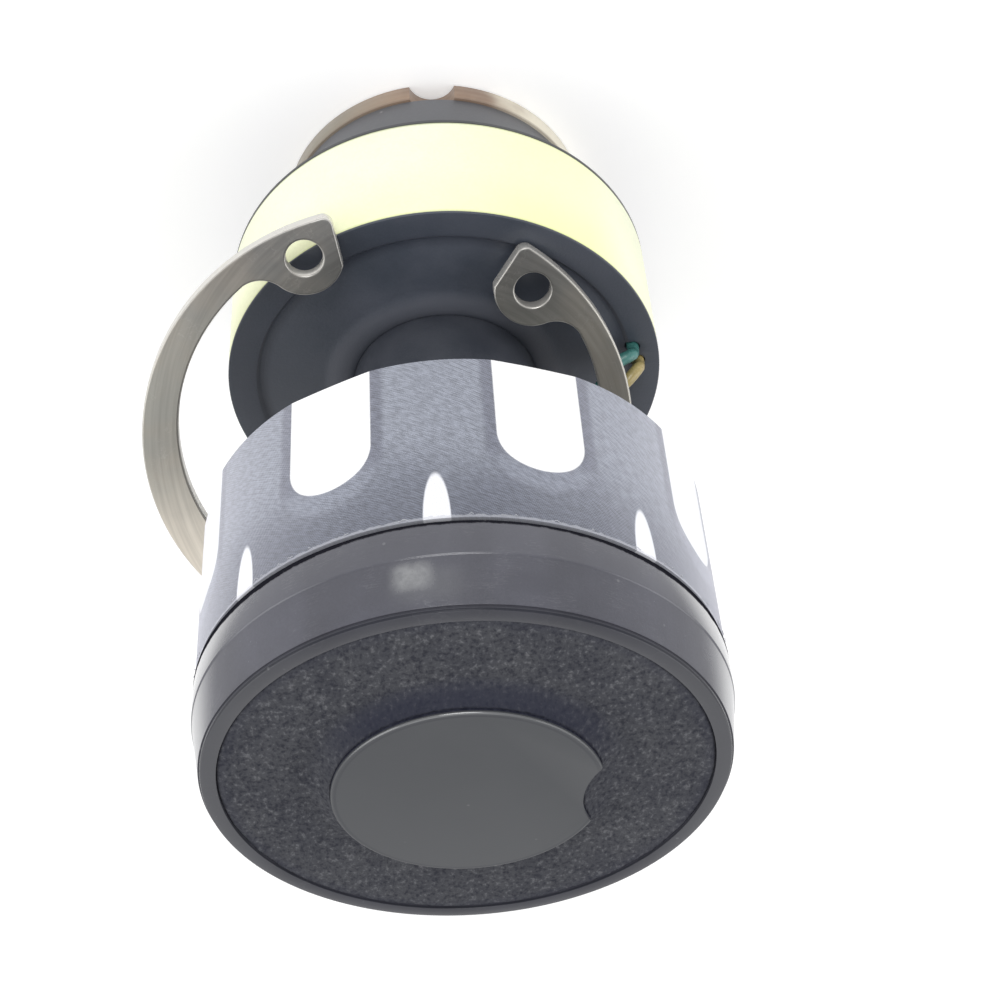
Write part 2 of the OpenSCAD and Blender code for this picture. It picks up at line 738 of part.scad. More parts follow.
// Outline of the lug on the +Y side of the gap, with its fillet
module clip_lug() {
    hole = polar(clip_hole_r, clip_hole_angle);
    inner = [clip_shift, 0];
    overlap = 0.8;
    root = polar(clip_hole_r + overlap, clip_hole_angle);
    // Centre of the fillet circle, which touches the lug and the inner edge
    span = hole - inner;
    d = norm(span);
    a = clip_lug_r + clip_fillet;
    b = clip_bore_r - clip_fillet;
    along = (a * a - b * b + d * d) / (2 * d);
    side = sqrt(a * a - along * along);
    back = -unit(span);
    across = [back[1], -back[0]];
    centre = hole + along * back + side * across;
    foot = inner + (clip_bore_r + overlap) * unit(centre - inner);
    intersection() {
        circle(r = clip_r);
        union() {
            translate(hole) circle(r = clip_lug_r);
            polygon([
                hole, polar(clip_hole_r - 1, clip_gap), polar(clip_r + 1, clip_gap),
                polar(clip_r + 1, clip_hole_angle)
            ]);
            polygon(concat(
                [foot], arc(centre, clip_fillet + e, unit(centre - inner), unit(hole - centre)), [root]
            ));
        }
    }
}

// What the rounding takes off that lug's outer corner
module clip_corner_cut() {
    middle = polar(clip_r - clip_corner, clip_gap + clip_corner_angle);
    beside = polar(clip_r - clip_corner, clip_gap - clip_corner_angle);
    polygon(concat(
        [polar(clip_r + 1, clip_gap - clip_corner_angle)],
        arc(middle, clip_corner + e, unit(beside - middle), unit(middle)),
        [polar(clip_r + 1, clip_gap + clip_corner_angle)]
    ));
}

// Outline of the retaining ring, with the gap on +X
module clip_outline() {
    reach = 2 * clip_r;
    difference() {
        union() {
            difference() {
                circle(r = clip_r);
                translate([clip_shift, 0]) circle(r = clip_bore_r);
            }
            clip_lug();
            mirror([0, 1, 0]) clip_lug();
        }
        polygon([[0, 0], polar(reach, -clip_gap), polar(reach, clip_gap)]);
        clip_corner_cut();
        mirror([0, 1, 0]) clip_corner_cut();
        for (s = [-1, 1])
            translate(polar(clip_hole_r, s * clip_hole_angle)) circle(d = clip_hole_d);
    }
}

// Height of a point of the tilted retaining ring over its centre
function tilted_z(p) =
    -p[0] * sin(clip_roll) + (p[1] * sin(clip_tilt) + p[2] * cos(clip_tilt)) * cos(clip_roll);

// Retaining ring, loose round the neck, with the corner of one lug on the rubber disc
module retaining_ring() {
    downhill = -unit([-sin(clip_roll), sin(clip_tilt) * cos(clip_roll)]);
    corner = polar(clip_r - clip_corner, clip_gap_angle - clip_gap - clip_corner_angle)
        + clip_corner * downhill;
    low = tilted_z([corner[0], corner[1], -clip_t]);
    color([0.46, 0.44, 0.40])
        translate([clip_x, 0, mount_z + fit - low])
            rotate([clip_tilt, clip_roll, 0])
                rotate([0, 0, clip_gap_angle])
                    translate([0, 0, -clip_t])
                        linear_extrude(height = clip_t) clip_outline();
}

front_ring();
windscreen_foam();
centre_cap();
front_plate();
diaphragm_ring();
diaphragm();
voice_coil();
top_plate();
magnet();
yoke();
basket();
fabric_sleeve();
damping_felt();
end_plate();
terminal_strip();
solder_joints();
lead_green();
lead_yellow();
neck_tube();
shock_mount();
rear_cup();
yellow_band();
collar();
contact_board();
contact_outer();
contact_middle();
contact_centre();
retaining_ring();
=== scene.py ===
"""Microphone capsule, standing on its contact face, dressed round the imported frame. Sizes are in metres."""

import math
import random

import bpy
from mathutils import Matrix, Vector, noise


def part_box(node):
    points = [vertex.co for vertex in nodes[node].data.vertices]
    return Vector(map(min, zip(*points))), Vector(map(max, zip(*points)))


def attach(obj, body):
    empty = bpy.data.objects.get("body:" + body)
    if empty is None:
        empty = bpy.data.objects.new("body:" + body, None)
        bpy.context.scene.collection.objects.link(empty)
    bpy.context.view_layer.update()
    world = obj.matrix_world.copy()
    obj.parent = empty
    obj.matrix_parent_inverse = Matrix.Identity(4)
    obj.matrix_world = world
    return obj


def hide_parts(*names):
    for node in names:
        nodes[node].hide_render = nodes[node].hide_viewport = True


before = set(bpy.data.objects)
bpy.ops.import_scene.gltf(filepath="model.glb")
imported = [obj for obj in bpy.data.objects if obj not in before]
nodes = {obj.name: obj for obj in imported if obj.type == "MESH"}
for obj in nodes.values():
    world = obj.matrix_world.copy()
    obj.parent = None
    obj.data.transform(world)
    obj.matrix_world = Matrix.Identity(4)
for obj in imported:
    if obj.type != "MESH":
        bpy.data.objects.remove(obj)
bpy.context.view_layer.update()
MM = 0.001
weld = 0.002 * MM


# Sizes that the frame gives
def foot(node):
    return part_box(node)[0].z


def head(node):
    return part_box(node)[1].z


def reach(node):
    """Outer radius of a round node"""
    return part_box(node)[1].x


ring_foot, front_face = foot("front_ring"), head("front_ring")
drum_foot = foot("fabric_sleeve")
disc_face = head("yellow_band") + 0.15 * MM
band_foot, band_head = foot("yellow_band"), head("yellow_band")
board_face = head("contact_board")
notch_r, notch_deep, notch_angle = 5.4 * MM, 1.3 * MM, math.radians(177)
notch_away = reach("centre_cap") - notch_deep + notch_r
lead_d, lead_hole_d = 0.9 * MM, 1.1 * MM
lead_holes = (-13.4, -3.2), (-13.9, -1.9)


def put_in(thing):
    """Puts a new object in the scene"""
    bpy.context.scene.collection.objects.link(thing)


# Camera at the photograph's place: it looks down on the capsule from the -Y side, rolled half round
def add_camera():
    data = bpy.data.cameras.new("photo_camera")
    data.sensor_width = 36
    data.lens = 67.44
    camera = bpy.data.objects.new("photo_camera", data)
    put_in(camera)
    right = Vector((-0.9976, -0.0348, 0.0590))
    up = Vector((-0.0197, -0.6790, -0.7338))
    back = right.cross(up)
    turn = Matrix((right, up, back)).transposed()
    camera.matrix_world = Matrix.Translation((0.005129, -0.094071, 0.118746)) @ turn.to_4x4()
    data.clip_start, data.clip_end = 0.005, 20
    bpy.context.scene.camera = camera


# Modelling as by hand: small helpers
def put_down():
    """Leaves edit mode with nothing selected"""
    if bpy.context.mode != "OBJECT":
        bpy.ops.object.mode_set(mode="OBJECT")
    bpy.ops.object.select_all(action="DESELECT")


def take(piece):
    put_down()
    piece.select_set(True)
    bpy.context.view_layer.objects.active = piece


def open_mesh(piece):
    """Enters edit mode with the whole mesh selected"""
    take(piece)
    bpy.ops.object.mode_set(mode="EDIT")
    bpy.ops.mesh.select_all(action="SELECT")


def finish_with(piece, kind, **settings):
    """Adds one modifier with these settings and applies it"""
    take(piece)
    modifier = piece.modifiers.new(kind.lower(), kind)
    for name, value in settings.items():
        setattr(modifier, name, value)
    bpy.ops.object.modifier_apply(modifier=modifier.name)


def break_edges(piece, width, segments=2, angle=28):
    """Rounds every edge that is sharper than the angle"""
    finish_with(piece, "BEVEL", width=width, segments=segments, limit_method="ANGLE",
                angle_limit=math.radians(angle), harden_normals=False)


def smooth(piece, angle=32):
    take(piece)
    bpy.ops.object.shade_smooth_by_angle(angle=math.radians(angle))


def turned(name, outline, steps=192, solid=False, closed=True):
    """A circle extruded from point to point of an outline of (radius, height)"""
    put_down()
    radius, height = outline[0]
    fill = "NGON" if solid else "NOTHING"
    start = (0, 0, height)
    bpy.ops.mesh.primitive_circle_add(vertices=steps, radius=radius, fill_type=fill, location=start)
    piece = bpy.context.object
    piece.name = piece.data.name = name
    bpy.ops.object.transform_apply(location=True, rotation=True, scale=True)
    open_mesh(piece)
    closing = [outline[0]] if closed and not solid else []
    for next_radius, next_height in outline[1:] + closing:
        bpy.ops.mesh.extrude_region_move(TRANSFORM_OT_translate={"value": (0, 0, next_height - height)})
        share = next_radius / radius
        bpy.ops.transform.resize(value=(share, share, 1), center_override=(0, 0, next_height))
        radius, height = next_radius, next_height
    bpy.ops.mesh.select_all(action="SELECT")
    bpy.ops.mesh.remove_doubles(threshold=weld)
    bpy.ops.mesh.normals_make_consistent(inside=False)
    bpy.ops.object.mode_set(mode="OBJECT")
    return piece


def drill(piece, x, y, low, high, radius, steps):
    """Cuts a round hole along Z"""
    put_down()
    middle = (x, y, (low + high) / 2)
    bpy.ops.mesh.primitive_cylinder_add(vertices=steps, radius=radius, depth=high - low, location=middle)
    cutter = bpy.context.object
    finish_with(piece, "BOOLEAN", operation="DIFFERENCE", solver="EXACT", object=cutter)
    bpy.data.objects.remove(cutter)


def settle(piece, material, slot, *stands_for):
    """Gives a finished piece its material, its body and the nodes that it stands for"""
    piece.data.materials.clear()
    piece.data.materials.append(material)
    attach(piece, "root")
    if stands_for:
        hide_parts(*stands_for)


# Materials: node helpers first
def plug(tree, node, sockets):
    """Fills a node's sockets with plain values or with other nodes' outputs"""
    for name, value in sockets.items():
        if isinstance(value, bpy.types.NodeSocket):
            tree.links.new(value, node.inputs[name])
        else:
            node.inputs[name].default_value = value


def put(tree, kind, sockets, **settings):
    """Adds one node and gives its outputs"""
    node = tree.nodes.new("ShaderNode" + kind)
    for name, value in settings.items():
        setattr(node, name, value)
    plug(tree, node, sockets)
    return node.outputs


def calc(tree, operation, a, b=0.0, c=0.0, clamp=False):
    """One Math node's output"""
    return put(tree, "Math", {0: a, 1: b, 2: c}, operation=operation, use_clamp=clamp)[0]


def times(tree, a, b):
    return calc(tree, "MULTIPLY", a, b)


def fade(tree, value, start, end, low=0.0, high=1.0):
    """Smooth step of a value from one level to another"""
    sockets = {"Value": value, "From Min": start, "From Max": end, "To Min": low, "To Max": high}
    return put(tree, "MapRange", sockets, interpolation_type="SMOOTHSTEP")["Result"]


def shade(r, g, b):
    return (r, g, b, 1.0)


def blend_colour(tree, share, a, b, kind="MIX"):
    return put(tree, "Mix", {0: share, 6: a, 7: b}, data_type="RGBA", blend_type=kind)[2]


def tint(tree, base, tone, mask, share):
    """Lays a tone over a colour where the mask is, no thicker than the share"""
    return blend_colour(tree, times(tree, mask, share), base, tone)


def shaded(tree, colour, value):
    """A colour made lighter or darker by a value"""
    grey = put(tree, "CombineColor", {"Red": value, "Green": value, "Blue": value})["Color"]
    return blend_colour(tree, 1.0, colour, grey, "MULTIPLY")


def object_place(tree):
    return put(tree, "TexCoord", {})["Object"]


def xyz_place(tree):
    return put(tree, "SeparateXYZ", {"Vector": object_place(tree)})


def stretched(tree, place, by):
    return put(tree, "VectorMath", {0: place, 1: by}, operation="MULTIPLY")[0]


def mottle(tree, place, scale, detail=2.0, rough=0.5):
    """Soft noise from 0 to 1"""
    sockets = {"Vector": place, "Scale": scale, "Detail": detail, "Roughness": rough}
    return put(tree, "TexNoise", sockets)["Fac"]


def new_group(name, inputs, outputs):
    """An empty node group from its inputs' starting values and its outputs' names, all values but Colour"""
    tree = bpy.data.node_groups.new(name, "ShaderNodeTree")
    kinds = {1: "NodeSocketFloat", 3: "NodeSocketVector", 4: "NodeSocketColor"}
    for label, start in inputs.items():
        size = len(start) if isinstance(start, tuple) else 1
        socket = tree.interface.new_socket(label, in_out="INPUT", socket_type=kinds[size])
        socket.default_value = start
    for label in outputs:
        kind = kinds[4] if label == "Colour" else kinds[1]
        tree.interface.new_socket(label, in_out="OUTPUT", socket_type=kind)
    given = tree.nodes.new("NodeGroupInput")
    result = tree.nodes.new("NodeGroupOutput")
    return tree, given.outputs, result


def use(tree, group, sockets=None):
    """Places a node group and gives its outputs"""
    node = tree.nodes.new("ShaderNodeGroup")
    node.node_tree = group
    plug(tree, node, sockets or {})
    return node.outputs


def surface_group():
    """Two tones in soft clouds, with fine grain for the height and the roughness"""
    tree, given, result = new_group(
        "clouded_surface",
        {"Tone A": shade(0.1, 0.1, 0.1), "Tone B": shade(0.2, 0.2, 0.2), "Cloud Size": 300.0,
         "Grain Size": 6000.0, "Rough A": 0.4, "Rough B": 0.5},
        ["Colour", "Roughness", "Height"],
    )
    place = object_place(tree)
    share = fade(tree, mottle(tree, place, given["Cloud Size"], 5.0, 0.6), 0.35, 0.68)
    grain = mottle(tree, place, given["Grain Size"], 2.0, 0.55)
    tone = blend_colour(tree, share, given["Tone A"], given["Tone B"])
    tone = shaded(tree, tone, calc(tree, "MULTIPLY_ADD", grain, 0.24, 0.88))
    spread = calc(tree, "SUBTRACT", given["Rough B"], given["Rough A"])
    rough = calc(tree, "MULTIPLY_ADD", share, spread, given["Rough A"])
    rough = calc(tree, "ADD", rough, calc(tree, "MULTIPLY_ADD", grain, 0.12, -0.06))
    plug(tree, result, {"Colour": tone, "Roughness": rough, "Height": grain})
    return tree


def round_place_group():
    """Where a point lies on a turned piece: angle in radians, radius and height in millimetres"""
    tree, _, result = new_group("round_place", {}, ["Angle", "Radius", "Height"])
    parts = xyz_place(tree)
    angle = calc(tree, "ARCTAN2", parts["Y"], parts["X"])
    square = calc(tree, "MULTIPLY_ADD", parts["X"], parts["X"], times(tree, parts["Y"], parts["Y"]))
    radius = times(tree, calc(tree, "SQRT", square), 1 / MM)
    plug(tree, result, {"Angle": angle, "Radius": radius, "Height": times(tree, parts["Z"], 1 / MM)})
    return tree


def specks_group():
    """Small scattered spots, such as dust: a mask"""
    tree, given, result = new_group("specks", {"Size": 2500.0, "Share": 0.1}, ["Mask"])
    sockets = {"Vector": object_place(tree), "Scale": given["Size"], "Randomness": 1.0}
    cells = put(tree, "TexVoronoi", sockets)
    near = fade(tree, cells["Distance"], 0.32, 0.12)
    pick = put(tree, "SeparateColor", {"Color": cells["Color"]})["Red"]
    plug(tree, result, {"Mask": times(tree, near, calc(tree, "LESS_THAN", pick, given["Share"]))})
    return tree


def scratches_group():
    """Thin lines that run one way, broken up: a mask"""
    sizes = {"Stretch": (4000.0, 4000.0, 200.0), "Width": 0.06}
    tree, given, result = new_group("scratches", sizes, ["Mask"])
    place = object_place(tree)
    lines = mottle(tree, stretched(tree, place, given["Stretch"]), 1.0)
    off_middle = calc(tree, "ABSOLUTE", calc(tree, "SUBTRACT", lines, 0.5))
    off_share = calc(tree, "DIVIDE", off_middle, given["Width"], clamp=True)
    thin = calc(tree, "SUBTRACT", 1.0, off_share, clamp=True)
    plug(tree, result, {"Mask": times(tree, thin, fade(tree, mottle(tree, place, 420.0), 0.48, 0.62))})
    return tree


surface = surface_group()
round_place = round_place_group()
specks = specks_group()
scratches = scratches_group()


def new_material(name):
    material = bpy.data.materials.new(name)
    material.use_nodes = True
    tree = material.node_tree
    return material, tree, tree.nodes["Principled BSDF"]


def set_shader(tree, shader, **sockets):
    """Plain numbers go on the shader's own sockets, and what changes over the surface is linked"""
    plug(tree, shader, {name.replace("_", " "): value for name, value in sockets.items()})


def bump(tree, shader, height, distance, strength=1.0):
    normal = put(tree, "Bump", {"Height": height, "Distance": distance, "Strength": strength})["Normal"]
    set_shader(tree, shader, Normal=normal)


def clouded(tree, tone_a, tone_b, rough_a, rough_b, cloud, grain):
    """Places the clouded surface between two tones and two roughnesses"""
    return use(tree, surface, {"Tone A": shade(*tone_a), "Tone B": shade(*tone_b), "Rough A": rough_a,
                               "Rough B": rough_b, "Cloud Size": cloud, "Grain Size": grain})


def moulded(name, tone_a, tone_b, rough_a, rough_b, cloud=300.0, grain=6000.0, depth=0.01 * MM, dust=0.0,
            metallic=0.0, spec=0.5):
    """A moulded or turned finish: clouded tone, fine grain and a little dust"""
    material, tree, shader = new_material(name)
    look = clouded(tree, tone_a, tone_b, rough_a, rough_b, cloud, grain)
    colour = look["Colour"]
    if dust:
        spots = use(tree, specks, {"Size": 1900.0, "Share": dust})["Mask"]
        colour = tint(tree, colour, shade(*[0.35 + 0.5 * c for c in tone_b]), spots, 0.4)
    set_shader(tree, shader, Base_Color=colour, Roughness=look["Roughness"], Metallic=metallic,
               Specular_IOR_Level=spec)
    bump(tree, shader, look["Height"], depth)
    return material


def soft_spot(tree, where, angle, half_angle, height, half_height):
    """A soft-edged patch at an angle and a height of a turned piece"""
    across = calc(tree, "ABSOLUTE", calc(tree, "SUBTRACT", where["Angle"], angle))
    along = calc(tree, "ABSOLUTE", calc(tree, "SUBTRACT", where["Height"], height))
    side = fade(tree, across, half_angle * 1.4, half_angle * 0.4)
    return times(tree, side, fade(tree, along, half_height * 1.4, half_height * 0.4))


# Front ring: satin black plastic with painted shade in its two creases and painted light and shade on its
# lip, one scuffed patch and faint scratches
def ring_plastic():
    material, tree, shader = new_material("ring_plastic")
    look = clouded(tree, (0.055, 0.056, 0.072), (0.067, 0.068, 0.087), 0.17, 0.25, 160.0, 7000.0)
    place, parts = object_place(tree), xyz_place(tree)
    where = use(tree, round_place)
    height = where["Height"]
    off_middle = calc(tree, "ABSOLUTE", parts["X"])
    foot_mm, lip_mm = ring_foot / MM, front_face / MM
    # Paler towards the cloth, with faint scratches and the moulding's flow marks along the axis
    rear_band = fade(tree, height, 51.25, 51.12)
    colour = tint(tree, look["Colour"], shade(0.098, 0.099, 0.118), rear_band, 0.45)
    marks = use(tree, scratches, {"Stretch": (900.0, 900.0, 6000.0), "Width": 0.03})["Mask"]
    colour = tint(tree, colour, shade(0.24, 0.24, 0.26), marks, 0.12)
    flow = mottle(tree, stretched(tree, place, (260.0, 260.0, 12.0)), 1.0)
    colour = shaded(tree, colour, fade(tree, flow, 0.3, 0.7, 0.9, 1.1))
    # The scuffed patch on the ring's side, a smudge beside it and a handled, darker place further round
    rub = mottle(tree, place, 1900.0, 5.0, 0.75)
    patch = soft_spot(tree, where, -1.368, 0.066, 52.30, 0.84)
    patch = times(tree, patch, fade(tree, rub, 0.34, 0.64, 0.62, 1.0))
    smudge = soft_spot(tree, where, -1.42, 0.12, 52.9, 1.1)
    handled = soft_spot(tree, where, -1.757, 0.10, 52.9, 0.7)
    colour = tint(tree, colour, shade(0.17, 0.175, 0.18), smudge, 0.2)
    colour = tint(tree, colour, shade(0.045, 0.046, 0.062), handled, 0.35)
    colour = tint(tree, colour, shade(0.25, 0.255, 0.262), patch, 0.85)
    # The lip's flat face is darker, with a painted reflection making it paler at its two sides and painted
    # shade darkest along its outer edge
    face = fade(tree, height, lip_mm - 0.19, lip_mm - 0.15)
    colour = tint(tree, colour, shade(0.028, 0.029, 0.036), face, 0.6)
    lip_reflection = times(tree, face, fade(tree, off_middle, 7 * MM, 14 * MM, 0.0, 0.55))
    lip_reflection = times(tree, lip_reflection, fade(tree, parts["Y"], 14 * MM, 4 * MM))
    colour = blend_colour(tree, lip_reflection, colour, shade(0.085, 0.087, 0.095))
    lip_edge_shade = times(tree, face, fade(tree, height, lip_mm - 0.01, lip_mm - 0.04))
    colour = tint(tree, colour, shade(0.018, 0.019, 0.025), lip_edge_shade, 0.5)
    # Painted shade, with some dirt, in the crease at the cloth and in the groove round the lip
    frayed = calc(tree, "MULTIPLY_ADD", rub, 0.30, -0.15)
    wider = fade(tree, off_middle, 3 * MM, 14 * MM, 0.0, 0.26)
    ragged = calc(tree, "SUBTRACT", calc(tree, "ADD", height, frayed), wider)
    crease = fade(tree, ragged, foot_mm + 0.45, foot_mm + 0.32)
    groove = times(tree, fade(tree, height, lip_mm - 0.34, lip_mm - 0.30),
                   fade(tree, height, lip_mm - 0.16, lip_mm - 0.20))
    groove = times(tree, groove, fade(tree, where["Radius"], 15.6, 15.8, 0.0, 0.6))
    dark = calc(tree, "MAXIMUM", crease, groove)
    colour = tint(tree, colour, shade(0.008, 0.008, 0.012), dark, 0.92)
    dust = use(tree, specks, {"Size": 2300.0, "Share": 0.012})["Mask"]
    colour = tint(tree, colour, shade(0.30, 0.30, 0.31), dust, 0.2)
    rough = calc(tree, "ADD", look["Roughness"], times(tree, calc(tree, "MAXIMUM", patch, dark), 0.35))
    matt = calc(tree, "MAXIMUM", dark, times(tree, face, 0.35))
    matt = calc(tree, "MAXIMUM", matt, times(tree, lip_edge_shade, 0.85))
    gloss = calc(tree, "MULTIPLY_ADD", matt, -0.55, 0.55)
    # The moulding's skin shines where it is seen along its surface
    glancing = put(tree, "LayerWeight", {"Blend": 0.5})["Facing"]
    clean = calc(tree, "SUBTRACT", 1.0, calc(tree, "MAXIMUM", dark, face))
    skin = times(tree, fade(tree, glancing, 0.54, 0.76), clean)
    set_shader(tree, shader, Base_Color=colour, Roughness=rough, Specular_IOR_Level=gloss, Coat_Weight=skin,
               Coat_Roughness=0.14, Coat_IOR=2.6)
    bump(tree, shader, calc(tree, "ADD", look["Height"], times(tree, marks, 0.4)), 0.008 * MM)
    return material


# Foam: fine open cells, dark pits between short pale struts
def foam_material():
    material, tree, shader = new_material("foam_cells")
    place = stretched(tree, object_place(tree), (1.0, 0.72, 1.0))
    fine = mottle(tree, place, 3600.0, 3.0, 0.62)
    cells = put(tree, "TexVoronoi", {"Vector": place, "Scale": 3400.0, "Randomness": 1.0}, feature="F1")
    pores = fade(tree, cells["Distance"], 0.5, 0.22)
    glint = fade(tree, fine, 0.53, 0.72)
    pits = fade(tree, fine, 0.50, 0.32)
    cloud = fade(tree, mottle(tree, place, 330.0, 3.0), 0.35, 0.65)
    colour = blend_colour(tree, cloud, shade(0.054, 0.056, 0.066), shade(0.067, 0.069, 0.078))
    colour = tint(tree, colour, shade(0.140, 0.142, 0.154), glint, 0.9)
    colour = tint(tree, colour, shade(0.020, 0.021, 0.030), pits, 0.8)
    colour = tint(tree, colour, shade(0.022, 0.023, 0.032), pores, 0.25)
    # Painted shade beside the cap, deepest on its near side, and painted shade in the corner at the front
    # ring
    radius = use(tree, round_place)["Radius"]
    near_side_shade = fade(tree, xyz_place(tree)["Y"], -1 * MM, -7 * MM, 0.12, 0.78)
    colour = tint(tree, colour, shade(0.022, 0.024, 0.040), fade(tree, radius, 10.3, 8.7), near_side_shade)
    colour = tint(tree, colour, shade(0.036, 0.038, 0.056), fade(tree, radius, 13.9, 14.8), 0.3)
    set_shader(tree, shader, Base_Color=colour, Roughness=0.9, Specular_IOR_Level=0.2)
    bump(tree, shader, calc(tree, "SUBTRACT", fine, times(tree, pores, 0.4)), 0.06 * MM, 0.8)
    return material


# Cloth sleeve: sheer white weave, grey where plastic lies behind it
def window_masks_group(window_w, window_end, recess_w, recess_end, lancet_w, lancet_tip, base, count, phase,
                       radius):
    """Masks of the round-ended windows, the step round them and the pointed windows, in millimetres"""
    tree, _, result = new_group("window_masks", {}, ["Window", "Step", "Contour", "Lancet", "Past End"])
    where = use(tree, round_place)
    height = where["Height"]
    pitch = 2 * math.pi / count

    def off_middle(turn):
        """Distance along the arc from the nearest window's middle line"""
        turns = calc(tree, "DIVIDE", calc(tree, "SUBTRACT", where["Angle"], phase + turn), pitch)
        nearest = calc(tree, "SUBTRACT", turns, calc(tree, "ROUND", turns))
        return calc(tree, "ABSOLUTE", times(tree, nearest, pitch * radius))

    def off_slot(side, width, end):
        """Distance from the middle line of a slot with a round end"""
        over = calc(tree, "MAXIMUM", calc(tree, "SUBTRACT", height, end - width / 2), 0.0)
        return calc(tree, "SQRT", calc(tree, "MULTIPLY_ADD", side, side, times(tree, over, over)))

    side = off_middle(pitch / 2)
    window = off_slot(side, window_w, window_end)
    step = off_slot(side, recess_w, recess_end)
    off_edge = calc(tree, "ABSOLUTE", calc(tree, "SUBTRACT", step, recess_w / 2 + 0.02))
    # A half ellipse: its long axis runs from the front ring to the blunt tip
    rise = calc(tree, "DIVIDE", calc(tree, "SUBTRACT", base, height), base - lancet_tip)
    flank = calc(tree, "DIVIDE", off_middle(0.0), lancet_w / 2)
    oval = calc(tree, "MULTIPLY_ADD", rise, rise, times(tree, flank, flank))
    plug(tree, result, {
        "Window": fade(tree, window, window_w / 2 + 0.05, window_w / 2 - 0.05),
        "Step": fade(tree, step, recess_w / 2 + 0.26, recess_w / 2 - 0.14),
        "Contour": fade(tree, off_edge, 0.34, 0.03),
        "Lancet": fade(tree, oval, 1.12, 0.86),
        "Past End": fade(tree, height, window_end - 1.7, window_end - 0.3),
    })
    return tree


def weave_group(radius):
    """Fine diagonal weave, broken into short dashes: thread height and a light and dark shade"""
    tree, given, result = new_group("weave", {"Threads": 22.0}, ["Height", "Shade"])
    where, place = use(tree, round_place), object_place(tree)
    arc = times(tree, where["Angle"], radius)
    shift = times(tree, mottle(tree, place, 900.0), 0.10)
    one = calc(tree, "ADD", calc(tree, "MULTIPLY_ADD", arc, 0.62, where["Height"]), shift)
    two = calc(tree, "SUBTRACT", arc, calc(tree, "MULTIPLY_ADD", where["Height"], 0.62, shift))
    weft = calc(tree, "SINE", times(tree, one, given["Threads"]))
    warp = calc(tree, "SINE", times(tree, two, times(tree, given["Threads"], 0.9)))
    # Dashes: noise drawn out along the weft threads
    lay = put(tree, "CombineXYZ", {"X": times(tree, one, 5.2), "Y": times(tree, two, 1.3)})[0]
    dash = fade(tree, mottle(tree, lay, 1.0, 2.0, 0.6), 0.32, 0.68, -1.0, 1.0)
    strength = fade(tree, mottle(tree, place, 240.0, 3.0), 0.35, 0.65, 0.35, 1.0)
    both = calc(tree, "ADD", times(tree, times(tree, weft, strength), 0.55), times(tree, dash, 0.6))
    plug(tree, result, {
        "Height": calc(tree, "MULTIPLY_ADD", times(tree, warp, weft), 0.5, 0.5),
        "Shade": calc(tree, "MULTIPLY_ADD", both, 0.5, 0.5),
    })
    return tree


def cloth_material(masks, weave):
    material, tree, shader = new_material("sheer_cloth")
    mask = use(tree, masks)
    threads = use(tree, weave, {"Threads": 34.0})
    height = use(tree, round_place)["Height"]
    place = object_place(tree)
    cloud = fade(tree, mottle(tree, place, 210.0, 4.0), 0.35, 0.65)
    base = blend_colour(tree, cloud, shade(0.160, 0.174, 0.218), shade(0.195, 0.211, 0.255))
    # Paler towards the drum's open rim, and darkened by painted shade towards the front ring
    base = blend_colour(tree, fade(tree, height, 46.0, 40.5), base, shade(0.240, 0.258, 0.308))
    base = blend_colour(tree, fade(tree, height, 42.5, 48.4, 0.0, 0.8), base, shade(0.085, 0.094, 0.124))
    # The step round each window gets painted shade beside the window and is paler under its round end, with a
    # painted shade line along its outline
    step_shade_tone = blend_colour(tree, mask["Past End"], shade(0.128, 0.136, 0.176), shade(0.212, 0.229, 0.280))
    base = tint(tree, base, step_shade_tone, mask["Step"], 0.85)
    outline = fade(tree, mask["Past End"], 0.0, 1.0, 0.3, 0.42)
    base = tint(tree, base, shade(0.13, 0.14, 0.175), mask["Contour"], outline)
    base = shaded(tree, base, calc(tree, "MULTIPLY_ADD", threads["Shade"], 0.76, 0.62))
    base = blend_colour(tree, mask["Lancet"], base, shade(0.88, 0.89, 0.94))
    base = blend_colour(tree, mask["Window"], base, shade(0.97, 0.97, 0.97))
    # The turned-in end at the front ring is frayed and paler
    ragged = calc(tree, "MULTIPLY_ADD", mottle(tree, place, 2600.0), 0.34, ring_foot / MM - 0.53)
    hem = fade(tree, calc(tree, "SUBTRACT", height, ragged), -0.04, 0.05)
    base = tint(tree, base, shade(0.52, 0.53, 0.58), hem, 0.45)
    set_shader(tree, shader, Base_Color=base, Roughness=0.7, Specular_IOR_Level=0.25, Sheen_Weight=1.0,
               Sheen_Roughness=0.5, Sheen_Tint=shade(0.92, 0.92, 1.0))
    bump(tree, shader, threads["Height"], 0.02 * MM, 0.7)
    return material
